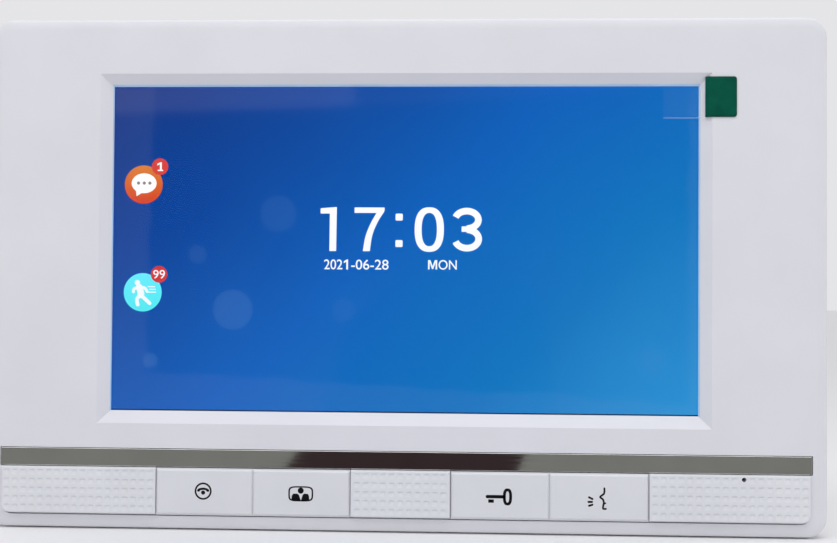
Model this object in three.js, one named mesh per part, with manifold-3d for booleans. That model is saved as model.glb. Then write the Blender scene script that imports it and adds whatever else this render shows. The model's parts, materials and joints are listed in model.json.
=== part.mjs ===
// A flush-looking wall monitor for a video door intercom: two moulded shells around a 7 inch display,
// four push keys under a plated strip, and a steel wall bracket that the rear shell hooks onto.
// Millimetres. +X is right as seen from the front, +Y points into the wall, +Z is up.
// The origin is the middle of the bracket's back face, on the wall.

import * as THREE from "three";
import { mergeVertices } from "three/addons/utils/BufferGeometryUtils.js";
import Module from "manifold-3d";

const wasm = await Module();
wasm.setup();

// ---------------------------------------------------------------- driving dimensions

const body = { width: 219.6, height: 134.3, cornerR: 5.2, faceY: -22, partingY: -10.5, wall: 2.2 };
const shoulder = { width: 2.9, slopeDegrees: 14, edgeR: 0.85 };
const screen = { width: 154.2, height: 85.9, z: 6.5, slopeWidth: 3.2, slopeY: -20.0 };
const innerFaceY = -19.6; // back of the front shell's face wall
const strip = { halfWidth: 105.8, top: -46.3, bottom: -51.0, thick: 1.0, gap: 0.15 };
const row = { top: -51.15, bottom: -63.3, proud: 1.0, pocket: 1.2, padOuter: 105.2, padCentre: 12.95 };
const key = { width: 25.2, gap: 0.3, inner: 13.25, top: -51.5, bottom: -63.15, proud: 0.8, flangeReach: 1.2 };
const keySlack = 0.12; // play between a key and its opening
const rowGap = { side: 0.15, top: 0.2, bottom: 0.46 }; // play round the keys and pads in their pocket
const display = { width: 165, height: 100 };
const film = { inset: 0.3, backY: -19.56, frontY: -19.66 };
const tab = { startX: 68.0, gripX: 78.6, endX: 86.5, bottom: 41.1, tapeTop: 48.9, gripTop: 51.6, thick: 0.2 };
const board = { front: -11.0, thick: 1.6, left: -40, right: 78, bottom: -38, top: 50 };
const keyBoard = { front: -13.6, thick: 1.2, left: -70, right: 93.5, bottom: -63.4, top: -50.8 };
const rear = { backY: -0.4, wall: 2.0, step: 0.3, bandY: -8.9, inset: 8.2 };
const bracket = { width: 116, height: 84, thick: 1.2, cornerR: 4 };
const cableWindow = { halfWidth: 26, top: -8, bottom: -36 };
const recess = { floorY: -2.0, wall: 2.0, top: 42.6, bottom: -49.6, halfWidth: 58.6 };
const hook = { x: 45, z: 24, width: 8, lip: 5.0, reach: 5.6, thick: 1.2, slotWidth: 9, slotHeight: 8.0 };
const bay = { halfWidth: 25, bottom: -33, top: -10, shroud: 1.5 };
const speaker = { x: -80, z: -20, radius: 18, frontY: -2.7, depth: 5.0 };
const mic = { x: 88.3, z: -52.3, holeR: 0.6, radius: 3 };
const screw = { x: 93, top: 49, bottom: -46, headR: 2.7, shankR: 1.35 };
const dip = { count: 6, pitch: 2.54, x: 13, z: -20, slotHeight: 3.6, travel: 1.6 };
const terminal = { count: 4, pitch: 3.81, x: -13, top: -14.6, bottom: -23.8, screwZ: -18 };
const clear = 0.1; // assembly gap between stacked pieces

// ---------------------------------------------------------------- materials

function finish(color, roughness, metalness = 0) {
  return new THREE.MeshStandardMaterial({ color, roughness, metalness });
}

const whiteAbs = finish(0xe6e6ea, 0.35);
const texturedAbs = finish(0xe2e6e8, 0.5);
const rearAbs = finish(0xdededf, 0.6);
const platedStrip = finish(0x8a8a88, 0.12, 1);
const greenTape = finish(0x0d5b40, 0.6);
const clearFilm = finish(0xdfe8f0, 0.1);
const displayGlass = finish(0x1764b8, 0.1);
const sheetSteel = finish(0xa9abad, 0.4, 1);
const screwSteel = finish(0x8f9194, 0.35, 1);
const circuitBoard = finish(0x1c5a34, 0.5);
const blackPlastic = finish(0x1b1b1d, 0.5);
const blackRubber = finish(0x151515, 0.8);
const greenPlastic = finish(0x1f8a4c, 0.5);
const redPlastic = finish(0xb02a25, 0.5);
const polyimide = finish(0xb5762a, 0.4);
const paperCone = finish(0x2b2a28, 0.9);
const aluminiumCan = finish(0xb8babd, 0.35, 1);

// ---------------------------------------------------------------- shape helpers

// Outline of a rectangle with round corners, counter-clockwise, centred on (x, z).
// radii is one number, or four in the order right-top, left-top, left-bottom, right-bottom.
function roundedRect(halfWidth, halfHeight, radii, x = 0, z = 0, steps = 5) {
  const r = Array.isArray(radii) ? radii : [radii, radii, radii, radii];
  const signs = [[1, 1], [-1, 1], [-1, -1], [1, -1]];
  return signs.flatMap(([sx, sz], corner) => {
    const radius = Math.max(r[corner], 0.001);
    const cx = x + sx * (halfWidth - radius);
    const cz = z + sz * (halfHeight - radius);
    return Array.from({ length: steps + 1 }, (_, i) => {
      const angle = (corner + i / steps) * (Math.PI / 2);
      return new THREE.Vector2(cx + radius * Math.cos(angle), cz + radius * Math.sin(angle));
    });
  });
}

// The outline in the XZ plane, carried from yBack forwards to yFront.
function slab(outline, yBack, yFront) {
  const geometry = new THREE.ExtrudeGeometry(new THREE.Shape(outline), {
    depth: yBack - yFront,
    bevelEnabled: false,
  });
  return geometry.rotateX(Math.PI / 2).translate(0, yBack, 0);
}

// A box between two corners given as ranges along x, y and z.
function box([x0, x1], [y0, y1], [z0, z1]) {
  const middle = [(x0 + x1) / 2, (y0 + y1) / 2, (z0 + z1) / 2];
  return new THREE.BoxGeometry(x1 - x0, y1 - y0, z1 - z0).translate(...middle);
}

// A round bar along Y.
function bar(radius, yBack, yFront, x = 0, z = 0, sides = 20) {
  const length = yBack - yFront;
  return new THREE.CylinderGeometry(radius, radius, length, sides).translate(x, (yBack + yFront) / 2, z);
}

// Skins rings of equal point count, ordered from the back (largest y) to the front, and caps both ends.
function loft(rings) {
  const count = rings[0].outline.length;
  const points = rings.flatMap(({ outline, y }) => outline.flatMap((p) => [p.x, y, p.y]));
  const faces = [];
  for (let ring = 0; ring + 1 < rings.length; ring += 1) {
    for (let i = 0; i < count; i += 1) {
      const a = ring * count + i;
      const b = ring * count + ((i + 1) % count);
      faces.push(a, b, b + count, a, b + count, a + count);
    }
  }
  const last = (rings.length - 1) * count;
  for (let i = 1; i + 1 < count; i += 1) {
    faces.push(0, i + 1, i, last, last + i, last + i + 1);
  }
  const geometry = new THREE.BufferGeometry();
  geometry.setAttribute("position", new THREE.Float32BufferAttribute(points, 3));
  geometry.setIndex(faces);
  return geometry;
}

// A plate whose front edge is eased by a small chamfer all round.
function easedPlate(halfWidth, halfHeight, radii, yBack, yFront, ease, x = 0, z = 0) {
  const shrink = (radius) => Math.max(radius - ease, 0);
  const inner = Array.isArray(radii) ? radii.map(shrink) : shrink(radii);
  return loft([
    { y: yBack, outline: roundedRect(halfWidth, halfHeight, radii, x, z) },
    { y: yFront + ease, outline: roundedRect(halfWidth, halfHeight, radii, x, z) },
    { y: yFront, outline: roundedRect(halfWidth - ease, halfHeight - ease, inner, x, z) },
  ]);
}

function toSolid(geometry) {
  const bare = geometry.clone();
  bare.deleteAttribute("normal");
  bare.deleteAttribute("uv");
  const merged = mergeVertices(bare, 1e-4);
  return new wasm.Manifold(
    new wasm.Mesh({
      numProp: 3,
      vertProperties: merged.attributes.position.array,
      triVerts: new Uint32Array(merged.index.array),
    }),
  );
}

function toGeometry(solid) {
  const { vertProperties, triVerts } = solid.getMesh();
  const geometry = new THREE.BufferGeometry();
  geometry.setAttribute("position", new THREE.BufferAttribute(vertProperties, 3));
  geometry.setIndex(new THREE.BufferAttribute(triVerts, 1));
  return geometry;
}

const cut = (base, ...tools) =>
  toGeometry(tools.flat().reduce((solid, tool) => solid.subtract(toSolid(tool)), toSolid(base)));
const join = (base, ...extras) =>
  toGeometry(extras.flat().reduce((solid, extra) => solid.add(toSolid(extra)), toSolid(base)));

const range = (count) => Array.from({ length: count }, (_, i) => i);
const group = new THREE.Group();

function place(name, geometry, material, x = 0, y = 0, z = 0) {
  const mesh = new THREE.Mesh(geometry, material);
  mesh.name = name;
  mesh.position.set(x, y, z);
  group.add(mesh);
  return mesh;
}

// ---------------------------------------------------------------- shared places

const rowZ = (row.top + row.bottom) / 2;
const rowHalf = (row.top - row.bottom) / 2;
const keyZ = (key.top + key.bottom) / 2;
const keyHalf = (key.top - key.bottom) / 2;
const screwPlaces = [
  [-screw.x, screw.top],
  [screw.x, screw.top],
  [-screw.x, screw.bottom],
  [screw.x, screw.bottom],
];
const hookPlaces = [
  [-hook.x, hook.z],
  [hook.x, hook.z],
  [-hook.x, -hook.z],
  [hook.x, -hook.z],
];
const keys = ["monitor", "intercom", "unlock", "talk"].map((name, i) => {
  const side = i < 2 ? -1 : 1;
  const fromMiddle = i === 1 || i === 2 ? 0 : 1;
  return { name, x: side * (key.inner + key.width / 2 + fromMiddle * (key.width + key.gap)) };
});
const boardPosts = [[-34, 44], [72, 44], [-34, -32], [72, -32]];
const keyPosts = [-67, 0, 72];

// ---------------------------------------------------------------- front shell

// Side wall, a tight round, then a shallow slope up to the flat face.
// Each step inwards is an inset from the outline and a depth behind the face.
function frontOuter() {
  const slope = (shoulder.slopeDegrees * Math.PI) / 180;
  const slopeStart = shoulder.edgeR * (1 - Math.sin(slope));
  const fall = (shoulder.width - slopeStart) * Math.tan(slope);
  const steps = 5;
  const round = range(steps + 1).map((i) => {
    const angle = Math.PI / 2 + (i / steps) * (slope - Math.PI / 2);
    const depth = fall + shoulder.edgeR * (Math.cos(slope) - Math.cos(angle));
    return { inset: shoulder.edgeR * (1 - Math.sin(angle)), depth };
  });
  const along = [slopeStart + 0.2, shoulder.width - 0.2, shoulder.width].map((inset) => {
    return { inset, depth: (shoulder.width - inset) * Math.tan(slope) };
  });
  const outline = (inset) =>
    roundedRect(body.width / 2 - inset, body.height / 2 - inset, body.cornerR - inset, 0, 0, 8);
  const rings = [...round, ...along].map(({ inset, depth }) => {
    return { y: body.faceY + depth, outline: outline(inset) };
  });
  return loft([{ y: body.partingY, outline: outline(0) }, ...rings]);
}

// The picture opening: four slopes that fall to a short lip in front of the touch glass.
function windowCut() {
  const edge = (grow) => roundedRect(screen.width / 2 + grow, screen.height / 2 + grow, 0, 0, screen.z, 1);
  const rise = (screen.slopeY - body.faceY) / screen.slopeWidth;
  const past = 0.5;
  return loft([
    { y: innerFaceY + 1, outline: edge(0) },
    { y: screen.slopeY, outline: edge(0) },
    { y: body.faceY - past, outline: edge(screen.slopeWidth + past / rise) },
  ]);
}

function frontHousing() {
  const halfW = body.width / 2;
  const halfH = body.height / 2;
  const hollow = slab(
    roundedRect(halfW - body.wall, halfH - body.wall, body.cornerR - body.wall),
    body.partingY + 1,
    innerFaceY,
  );
  const stripHalf = (strip.top - strip.bottom) / 2 + strip.gap;
  const stripPocket = slab(
    roundedRect(strip.halfWidth + strip.gap, stripHalf, 0.3, 0, (strip.top + strip.bottom) / 2),
    body.faceY + strip.thick + strip.gap / 3,
    body.faceY - 1,
  );
  const pocketHalf = rowHalf + (rowGap.top + rowGap.bottom) / 2;
  const pocketZ = rowZ + (rowGap.top - rowGap.bottom) / 2;
  const rowPocket = slab(
    roundedRect(row.padOuter + rowGap.side, pocketHalf, [0.2, 0.2, 2.6, 2.6], 0, pocketZ),
    body.faceY + row.pocket,
    body.faceY - 1,
  );
  const pairX = key.inner + key.width + key.gap / 2;
  const pairHalf = key.width + key.gap / 2 + keySlack;
  const openingZ = [key.bottom - keySlack, key.top + keySlack];
  const keyOpenings = [-pairX, pairX].map((x) =>
    box([x - pairHalf, x + pairHalf], [body.faceY - 1, innerFaceY + 1], openingZ),
  );
  const micHole = bar(mic.holeR, innerFaceY + 1, body.faceY - 1, mic.x, mic.z, 12);
  const bosses = screwPlaces.map(([x, z]) => bar(3.5, body.partingY + 1.4, innerFaceY - 0.5, x, z));
  const pilotR = screw.shankR + 0.15;
  const pilots = screwPlaces.map(([x, z]) => bar(pilotR, body.partingY + 2, innerFaceY + 1.5, x, z));
  const posts = keyPosts.map((x) => bar(2.4, keyBoard.front - clear, innerFaceY - 0.5, x, keyZ, 16));
  const stakes = keyPosts.map((x) => bar(1.1, keyBoard.front + 2.2, innerFaceY - 0.5, x, keyZ, 12));
  const aroundDisplay = (grow, radius) =>
    roundedRect(display.width / 2 + grow, display.height / 2 + grow, radius, 0, screen.z, 2);
  const flexNotch = box([3, 37], [-18, -13], [-46, -43]);
  const frame = cut(
    slab(aroundDisplay(1.9, 1), -13.6, innerFaceY - 0.5),
    slab(aroundDisplay(0.4, 0.3), -13, innerFaceY),
    flexNotch,
  );
  const shell = join(cut(frontOuter(), hollow), frame, bosses, posts, stakes);
  return cut(shell, windowCut(), stripPocket, rowPocket, keyOpenings, micHole, pilots);
}

// ---------------------------------------------------------------- rear shell

// A short vertical band under the parting line, then a slope to the smaller back face.
function rearProfile(offset) {
  const halfW = body.width / 2 - rear.step - offset;
  const halfH = body.height / 2 - rear.step - offset;
  const radius = Math.max(body.cornerR - rear.step - offset, 0.6);
  return [
    { y: rear.bandY, inset: 0 },
    { y: rear.backY - 0.9, inset: rear.inset - 0.9 },
    { y: rear.backY, inset: rear.inset },
  ].map(({ y, inset }) => ({ y, outline: roundedRect(halfW - inset, halfH - inset, radius + inset * 0.4) }));
}

function rearShellOuter() {
  const rings = rearProfile(0);
  return loft([rings[2], rings[1], rings[0], { y: body.partingY, outline: rings[0].outline }]);
}

function rearShellInner() {
  const rings = rearProfile(rear.wall);
  return loft([
    { y: rear.backY - rear.wall, outline: rings[1].outline },
    { y: rear.bandY + 0.4, outline: rings[0].outline },
    { y: body.partingY - 5, outline: rings[0].outline },
  ]);
}

// The lip that registers the rear shell inside the front one.
function registerTongue() {
  const halfW = body.width / 2 - body.wall - 0.15;
  const halfH = body.height / 2 - body.wall - 0.15;
  const radius = body.cornerR - body.wall;
  const ring = (grow) => roundedRect(halfW + grow, halfH + grow, radius + grow);
  const rooted = slab(ring(0.8), body.partingY + 1.5, body.partingY);
  const free = slab(ring(0), body.partingY + 0.5, body.partingY - 2);
  const inner = slab(ring(-1.1), body.partingY + 2, body.partingY - 3);
  return cut(join(rooted, free), inner);
}

function speakerSlots() {
  const spacing = 4.4;
  return range(7).map((i) => {
    const dx = (i - 3) * spacing;
    const halfLength = Math.sqrt((speaker.radius - 2.5) ** 2 - dx ** 2);
    return slab(roundedRect(1, halfLength, 0.95, speaker.x + dx, speaker.z, 3), 1, -3.5);
  });
}

function rearHousing() {
  const midZ = (recess.top + recess.bottom) / 2;
  const halfH = (recess.top - recess.bottom) / 2;
  const recessBlock = slab(
    roundedRect(recess.halfWidth + recess.wall, halfH + recess.wall, 4, 0, midZ, 3),
    rear.backY - 0.5,
    recess.floorY - recess.wall,
  );
  const recessPocket = slab(roundedRect(recess.halfWidth, halfH, 3.2, 0, midZ), 1, recess.floorY);
  const bayZ = (bay.top + bay.bottom) / 2;
  const bayHalf = (bay.top - bay.bottom) / 2;
  const boardBack = board.front + board.thick;
  const bayShroud = slab(
    roundedRect(bay.halfWidth + bay.shroud, bayHalf + bay.shroud, 1.5, 0, bayZ, 2),
    recess.floorY - 0.5,
    boardBack + clear,
  );
  const bayCut = slab(roundedRect(bay.halfWidth, bayHalf, 1, 0, bayZ, 2), 1, boardBack - 1);
  const hookSlots = hookPlaces.map(([x, z]) =>
    box(
      [x - hook.slotWidth / 2, x + hook.slotWidth / 2],
      [recess.floorY - recess.wall - 1, recess.floorY + 1],
      [z + clear - hook.slotHeight, z + clear],
    ),
  );
  const speakerSeat = cut(
    bar(speaker.radius + 2, rear.backY - 1, -5.5, speaker.x, speaker.z, 36),
    bar(speaker.radius + 0.4, -1, -6, speaker.x, speaker.z, 36),
  );
  const bosses = screwPlaces.map(([x, z]) => bar(3.9, rear.backY - 0.5, body.partingY + 1.6, x, z));
  const counterbores = screwPlaces.map(([x, z]) => bar(screw.headR + 0.4, 1, -4.4, x, z));
  const clearances = screwPlaces.map(([x, z]) => bar(screw.shankR + 0.3, -4, body.partingY - 1, x, z));
  const posts = boardPosts.map(([x, z]) => bar(2.6, rear.backY - 1, boardBack + clear, x, z, 16));
  const vents = range(19).map((i) => {
    const x = (i - 9) * 6;
    return slab(roundedRect(1.1, 6, 1.05, x, body.height / 2 - 4.5, 2), -3.2, -8.2);
  });
  const skin = cut(rearShellOuter(), rearShellInner());
  const shell = join(skin, registerTongue(), recessBlock, bayShroud, speakerSeat, bosses, posts);
  return cut(shell, recessPocket, bayCut, hookSlots, speakerSlots(), counterbores, clearances, vents);
}

// ---------------------------------------------------------------- wall bracket

// Sheet steel with a cable window, four screw slots and four tabs lanced out and bent into hooks.
function wallBracket() {
  const plate = slab(roundedRect(bracket.width / 2, bracket.height / 2, bracket.cornerR), 0, -bracket.thick);
  const windowZ = (cableWindow.top + cableWindow.bottom) / 2;
  const windowHalf = (cableWindow.top - cableWindow.bottom) / 2;
  const window = slab(roundedRect(cableWindow.halfWidth, windowHalf, 3, 0, windowZ, 3), 1, -2);
  const screwSlots = [-33, 33].flatMap((x) =>
    [-33.5, 33.5].map((z) => slab(roundedRect(2.0, 4.5, 1.95, x, z, 4), 1, -2)),
  );
  const lanced = hookPlaces.map(([x, z]) =>
    box([x - hook.width / 2 - 0.5, x + hook.width / 2 + 0.5], [-2, 1], [z, z + hook.lip + hook.reach - 0.6]),
  );
  const hooks = hookPlaces.flatMap(([x, z]) => {
    const across = [x - hook.width / 2, x + hook.width / 2];
    const shelf = box(across, [-hook.reach, -0.2], [z - hook.thick, z]);
    const lip = box(across, [-hook.reach, -hook.reach + hook.thick], [z - hook.thick, z + hook.lip]);
    return [shelf, lip];
  });
  return join(cut(plate, window, screwSlots, lanced), hooks);
}

// ---------------------------------------------------------------- front trim and keys

function trimStrip() {
  const half = (strip.top - strip.bottom) / 2;
  const middle = (strip.top + strip.bottom) / 2;
  const backY = body.faceY + strip.thick;
  return easedPlate(strip.halfWidth, half, 0.25, backY, body.faceY - 0.02, 0.15, 0, middle);
}

// side is -1, 0 or 1; the outer pads have one large corner at the bottom outside.
function texturedPad(side) {
  const inner = key.inner + 2 * key.width + 2 * key.gap;
  const halfWidth = side ? (row.padOuter - inner) / 2 : row.padCentre;
  const x = side * (inner + halfWidth);
  const radii = [0.3, 0.3, side < 0 ? 2.3 : 0.3, side > 0 ? 2.3 : 0.3];
  const backY = body.faceY + row.pocket - 0.05;
  const plate = easedPlate(halfWidth, rowHalf, radii, backY, body.faceY - row.proud, 0.3, x, rowZ);
  return side > 0 ? cut(plate, bar(mic.holeR, backY + 1, body.faceY - 2, mic.x, mic.z, 12)) : plate;
}

// A hollow cap with a rear flange above and below, and a middle stem that meets the switch.
function keyCap() {
  const frontY = body.faceY - key.proud;
  const flangeBack = innerFaceY + clear + 1.2;
  const halfWidth = key.width / 2;
  const flangeHalf = keyHalf + key.flangeReach;
  const wall = 1.5;
  const across = (inset) => [inset - halfWidth, halfWidth - inset];
  const cap = easedPlate(halfWidth, keyHalf, 0.4, flangeBack, frontY, 0.35);
  const flange = box(across(0.3), [innerFaceY + clear, flangeBack], [-flangeHalf, flangeHalf]);
  const hollow = box(across(wall), [frontY + wall, 0], [wall - keyHalf, keyHalf - wall]);
  const stem = bar(1.9, -17.0, frontY + 1, 0, 0, 16);
  const web = box(across(1), [frontY + 1, flangeBack - 0.6], [-0.5, 0.5]);
  return join(cut(join(cap, flange), hollow), stem, web);
}

function tactSwitch() {
  const can = box([-3.1, 3.1], [-16.0, keyBoard.front], [-3.1, 3.1]);
  const legs = [-2.2, 2.2].map((z) =>
    box([-4.2, 4.2], [keyBoard.front - 0.4, keyBoard.front], [z - 0.4, z + 0.4]),
  );
  return cut(join(can, legs), bar(1.85, -14.4, -17, 0, 0, 20));
}

function addFrontParts() {
  place("trim_strip", trimStrip(), platedStrip);
  place("pad_left", texturedPad(-1), texturedAbs);
  place("pad_centre", texturedPad(0), texturedAbs);
  place("pad_right", texturedPad(1), texturedAbs);
  const capShape = keyCap();
  const plungerShape = bar(1.6, -15.5, -16.9, 0, 0, 16);
  const switchShape = tactSwitch();
  keys.forEach(({ name, x }) => {
    place(`key_${name}`, capShape, whiteAbs, x, 0, keyZ);
    place(`switch_plunger_${name}`, plungerShape, blackPlastic, x, 0, keyZ);
    place(`tact_switch_${name}`, switchShape, aluminiumCan, x, 0, keyZ);
  });
}

// ---------------------------------------------------------------- key board and microphone

function keyBoardPlate() {
  const frontY = keyBoard.front + clear;
  const across = [keyBoard.left, keyBoard.right];
  const plate = box(across, [frontY, frontY + keyBoard.thick], [keyBoard.bottom, keyBoard.top]);
  return cut(plate, keyPosts.map((x) => bar(1.3, keyBoard.front + 3, keyBoard.front - 1, x, keyZ, 16)));
}

function microphoneBoot() {
  const cup = bar(4.3, -14.2, innerFaceY + clear, 0, 0, 24);
  return cut(cup, bar(mic.radius + 0.1, -13, -16.9, 0, 0, 24), bar(0.8, -16, -21, 0, 0, 12));
}

function addKeyBoard() {
  place("key_board", keyBoardPlate(), circuitBoard);
  place("microphone", bar(mic.radius, keyBoard.front, -16.7, 0, 0, 20), aluminiumCan, mic.x, 0, mic.z);
  place("microphone_boot", microphoneBoot(), blackRubber, mic.x, 0, mic.z);
  const boardBack = keyBoard.front + clear + keyBoard.thick;
  place("key_flex", box([38, 46], [-11.4, -11.1], [-53.8, -34]), polyimide);
  const socket = box([36.5, 47.5], [boardBack + clear, boardBack + 1.3], [-58.2, -54]);
  place("key_flex_socket", socket, blackPlastic);
}

// ---------------------------------------------------------------- display

// A sheet of the given thickness that follows a path in the XY plane, extruded between two heights.
function bentStrip(path, thick, bottom, top) {
  const back = path.map(([x, y]) => new THREE.Vector2(x, y));
  const front = path.map(([x, y]) => new THREE.Vector2(x, y - thick)).reverse();
  const options = { depth: top - bottom, bevelEnabled: false };
  return new THREE.ExtrudeGeometry(new THREE.Shape([...back, ...front]), options).translate(0, 0, bottom);
}

// The film's pull tab: tape on the film that climbs the right slope and ends in a taller grip on the face.
function pullTab() {
  const filmY = film.frontY - 0.06;
  const faceY = body.faceY - 0.08;
  const foot = [76.2, filmY];
  const brow = [79.5, faceY];
  const gripY = filmY + ((tab.gripX - foot[0]) / (brow[0] - foot[0])) * (faceY - filmY);
  const tape = bentStrip([[tab.startX, filmY], foot, brow], tab.thick, tab.bottom, tab.tapeTop);
  const grip = bentStrip([[tab.gripX, gripY], brow, [tab.endX, faceY]], tab.thick, tab.bottom, tab.gripTop);
  return join(tape, grip);
}

// One sheet of the display stack, inset from the touch panel's outline.
function displayLayer(inset, backY, frontY) {
  const halfWidth = display.width / 2 - inset;
  const halfHeight = display.height / 2 - inset;
  return slab(roundedRect(halfWidth, halfHeight, 0.6, 0, screen.z, 2), backY, frontY);
}

// A sheet metal pan, pressed in at the back.
function backlightUnit() {
  return cut(displayLayer(0, -13.0, -16.55), displayLayer(3, -12, -13.4));
}

// The flex leaves the panel's lower edge and folds behind it to the socket.
function displayFlex() {
  const thick = 0.3;
  const foldZ = -44.9;
  const frontY = -17.4;
  const backY = -12.5;
  return join(
    box([5, 35], [frontY - thick, frontY], [foldZ, -42.1]),
    box([5, 35], [frontY - thick, backY + thick], [foldZ - thick, foldZ]),
    box([5, 35], [backY, backY + thick], [foldZ, -33.2]),
  );
}

function addDisplay() {
  const halfWidth = screen.width / 2 - film.inset;
  const halfHeight = screen.height / 2 - film.inset;
  const sheet = slab(roundedRect(halfWidth, halfHeight, 0.2, 0, screen.z, 1), film.backY, film.frontY);
  place("protective_film", sheet, clearFilm);
  place("film_pull_tab", pullTab(), greenTape);
  place("touch_panel", displayLayer(0, -18.2, -19.5), displayGlass);
  place("lcd_panel", displayLayer(1.5, -16.65, -18.1), displayGlass);
  place("backlight_unit", backlightUnit(), aluminiumCan);
  place("display_flex", displayFlex(), polyimide);
  place("display_flex_socket", box([4, 36], [-12.4, board.front - clear], [-33.1, -29]), blackPlastic);
}

// ---------------------------------------------------------------- main board

function mainBoard() {
  const midX = (board.left + board.right) / 2;
  const midZ = (board.bottom + board.top) / 2;
  return slab(
    roundedRect((board.right - board.left) / 2, (board.top - board.bottom) / 2, 1.5, midX, midZ, 2),
    board.front + board.thick,
    board.front,
  );
}

function terminalBlock(backY) {
  const halfWidth = (terminal.count * terminal.pitch) / 2 + 0.6;
  const below = terminal.bottom - 1;
  const block = box([-halfWidth, halfWidth], [backY, -2.6], [terminal.bottom, terminal.top]);
  const ledge = box([-halfWidth - 1, halfWidth + 1], [-4.4, -2], [below, terminal.bottom + 1.6]);
  const places = range(terminal.count).map((i) => (i - (terminal.count - 1) / 2) * terminal.pitch);
  const wells = places.map((x) => bar(1.6, -2, -4.8, x, terminal.screwZ, 16));
  const entries = places.map((x) => box([x - 1.3, x + 1.3], [-8.2, -5.4], [below, terminal.top - 5]));
  return cut(block, ledge, wells, entries);
}

function slottedScrew(radius, backY, frontY) {
  return cut(bar(radius, backY, frontY, 0, 0, 16), box([-0.3, 0.3], [backY - 0.7, backY + 1], [-3, 3]));
}

function dipSwitchBody(backY) {
  const halfWidth = (dip.count * dip.pitch) / 2 + 0.9;
  const block = box([-halfWidth, halfWidth], [backY, backY + 3.6], [-3.9, 3.9]);
  const slots = range(dip.count).map((i) => {
    const x = (i - (dip.count - 1) / 2) * dip.pitch;
    return box([x - 0.75, x + 0.75], [backY + 1.8, backY + 5], [-dip.slotHeight / 2, dip.slotHeight / 2]);
  });
  return cut(block, slots);
}

function addMainBoard() {
  const boardBack = board.front + board.thick;
  const seat = boardBack + 0.05;
  place("main_board", mainBoard(), circuitBoard);
  place("processor_shield", box([34, 62], [seat, seat + 2.6], [12, 38]), sheetSteel);
  place("video_chip", box([6, 20], [seat, seat + 1.4], [20, 34]), blackPlastic);
  place("bus_transformer", transformer(seat), blackPlastic, -22, 0, 28);
  [[-30, 16], [-21, 16], [-12, 16]].forEach(([x, z], i) => {
    place(`capacitor_${i + 1}`, capacitorCan(seat), aluminiumCan, x, 0, z);
  });
  place("terminal_block", terminalBlock(seat), greenPlastic, terminal.x, 0, 0);
  range(terminal.count).forEach((i) => {
    const x = terminal.x + (i - (terminal.count - 1) / 2) * terminal.pitch;
    place(`terminal_screw_${i + 1}`, slottedScrew(1.45, -3.2, -4.75), screwSteel, x, 0, terminal.screwZ);
  });
  place("dip_switch", dipSwitchBody(seat), redPlastic, dip.x, 0, dip.z);
  const slider = box([-0.65, 0.65], [seat + 1.9, seat + 4.3], [-0.8, 0.8]);
  range(dip.count).forEach((i) => {
    const x = dip.x + (i - (dip.count - 1) / 2) * dip.pitch;
    place(`dip_slider_${i + 1}`, slider, whiteAbs, x, 0, dip.z - dip.travel / 2 - 0.05);
  });
}

// A core with a winding window open on both long sides.
function transformer(seat) {
  const core = box([-5, 5], [seat, seat + 4.4], [-4, 4]);
  return cut(core, [-4.5, 4.5].map((z) => box([-3.4, 3.4], [seat + 0.8, seat + 3.6], [z - 1.3, z + 1.3])));
}

// A surface-mount electrolytic: a can on a square foot.
function capacitorCan(seat) {
  const foot = box([-3.3, 3.3], [seat, seat + 0.9], [-3.3, 3.3]);
  return join(foot, bar(3.1, seat + 4.5, seat + 0.4, 0, 0, 20));
}

// ---------------------------------------------------------------- speaker

// Lathe profiles are (radius, y) from the axis round and back to it.
function lathe(profile, sides) {
  return new THREE.LatheGeometry(profile.map(([r, y]) => new THREE.Vector2(r, y)), sides);
}

function addSpeaker() {
  const front = speaker.frontY;
  const back = front - speaker.depth;
  const edge = speaker.radius;
  const outside = [[6, back], [edge - 6, back], [edge - 3.5, back + 2.4], [edge, back + 3.4], [edge, front]];
  const rim = [[edge - 1.6, front], [edge - 1.6, front - 0.9]];
  const inside = [[edge - 4.4, back + 3.2], [edge - 6.6, back + 1], [6, back + 1], [6, back]];
  const basket = lathe([...outside, ...rim, ...inside], 28);
  const coneUnder = [[0, back + 1.9], [3.6, back + 1.4], [edge - 5, front - 1.1], [edge - 1.9, front - 0.8]];
  const coneFace = [[edge - 1.9, front - 0.5], [edge - 5.2, front - 0.7], [3.4, back + 1.9], [0, back + 2.5]];
  const cone = lathe([...coneUnder, ...coneFace], 28);
  const magnet = bar(10, back - 0.1, back - 3.6, 0, 0, 28);
  place("speaker_basket", basket, sheetSteel, speaker.x, 0, speaker.z);
  place("speaker_cone", cone, paperCone, speaker.x, 0, speaker.z);
  place("speaker_magnet", magnet, screwSteel, speaker.x, 0, speaker.z);
  place("speaker_lead", speakerLead(), redPlastic);
}

// The two-core lead from the basket's terminal tag to the board.
function speakerLead() {
  const route = new THREE.CatmullRomCurve3([
    new THREE.Vector3(-68, -5.95, -11.5),
    new THREE.Vector3(-64.5, -6.8, -9),
    new THREE.Vector3(-58, -7.6, -3),
    new THREE.Vector3(-49, -8.2, 0),
    new THREE.Vector3(-37, -8.7, -2),
  ]);
  const section = new THREE.Shape(range(8).map((i) => {
    const angle = (i * Math.PI) / 4;
    return new THREE.Vector2(0.6 * Math.cos(angle), 0.6 * Math.sin(angle));
  }));
  return new THREE.ExtrudeGeometry(section, { steps: 14, bevelEnabled: false, extrudePath: route });
}

// ---------------------------------------------------------------- fasteners

// Pan head with a cross recess; the shank runs forwards into the front shell's boss.
function housingScrew() {
  const headBack = -2.6;
  const head = bar(screw.headR, headBack, -4.2, 0, 0, 20);
  const shank = bar(screw.shankR, -4.1, -16.5, 0, 0, 14);
  const arms = [box([-1.4, 1.4], [headBack - 0.8, headBack + 1], [-0.35, 0.35]),
    box([-0.35, 0.35], [headBack - 0.8, headBack + 1], [-1.4, 1.4])];
  return cut(join(head, shank), arms);
}

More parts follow.
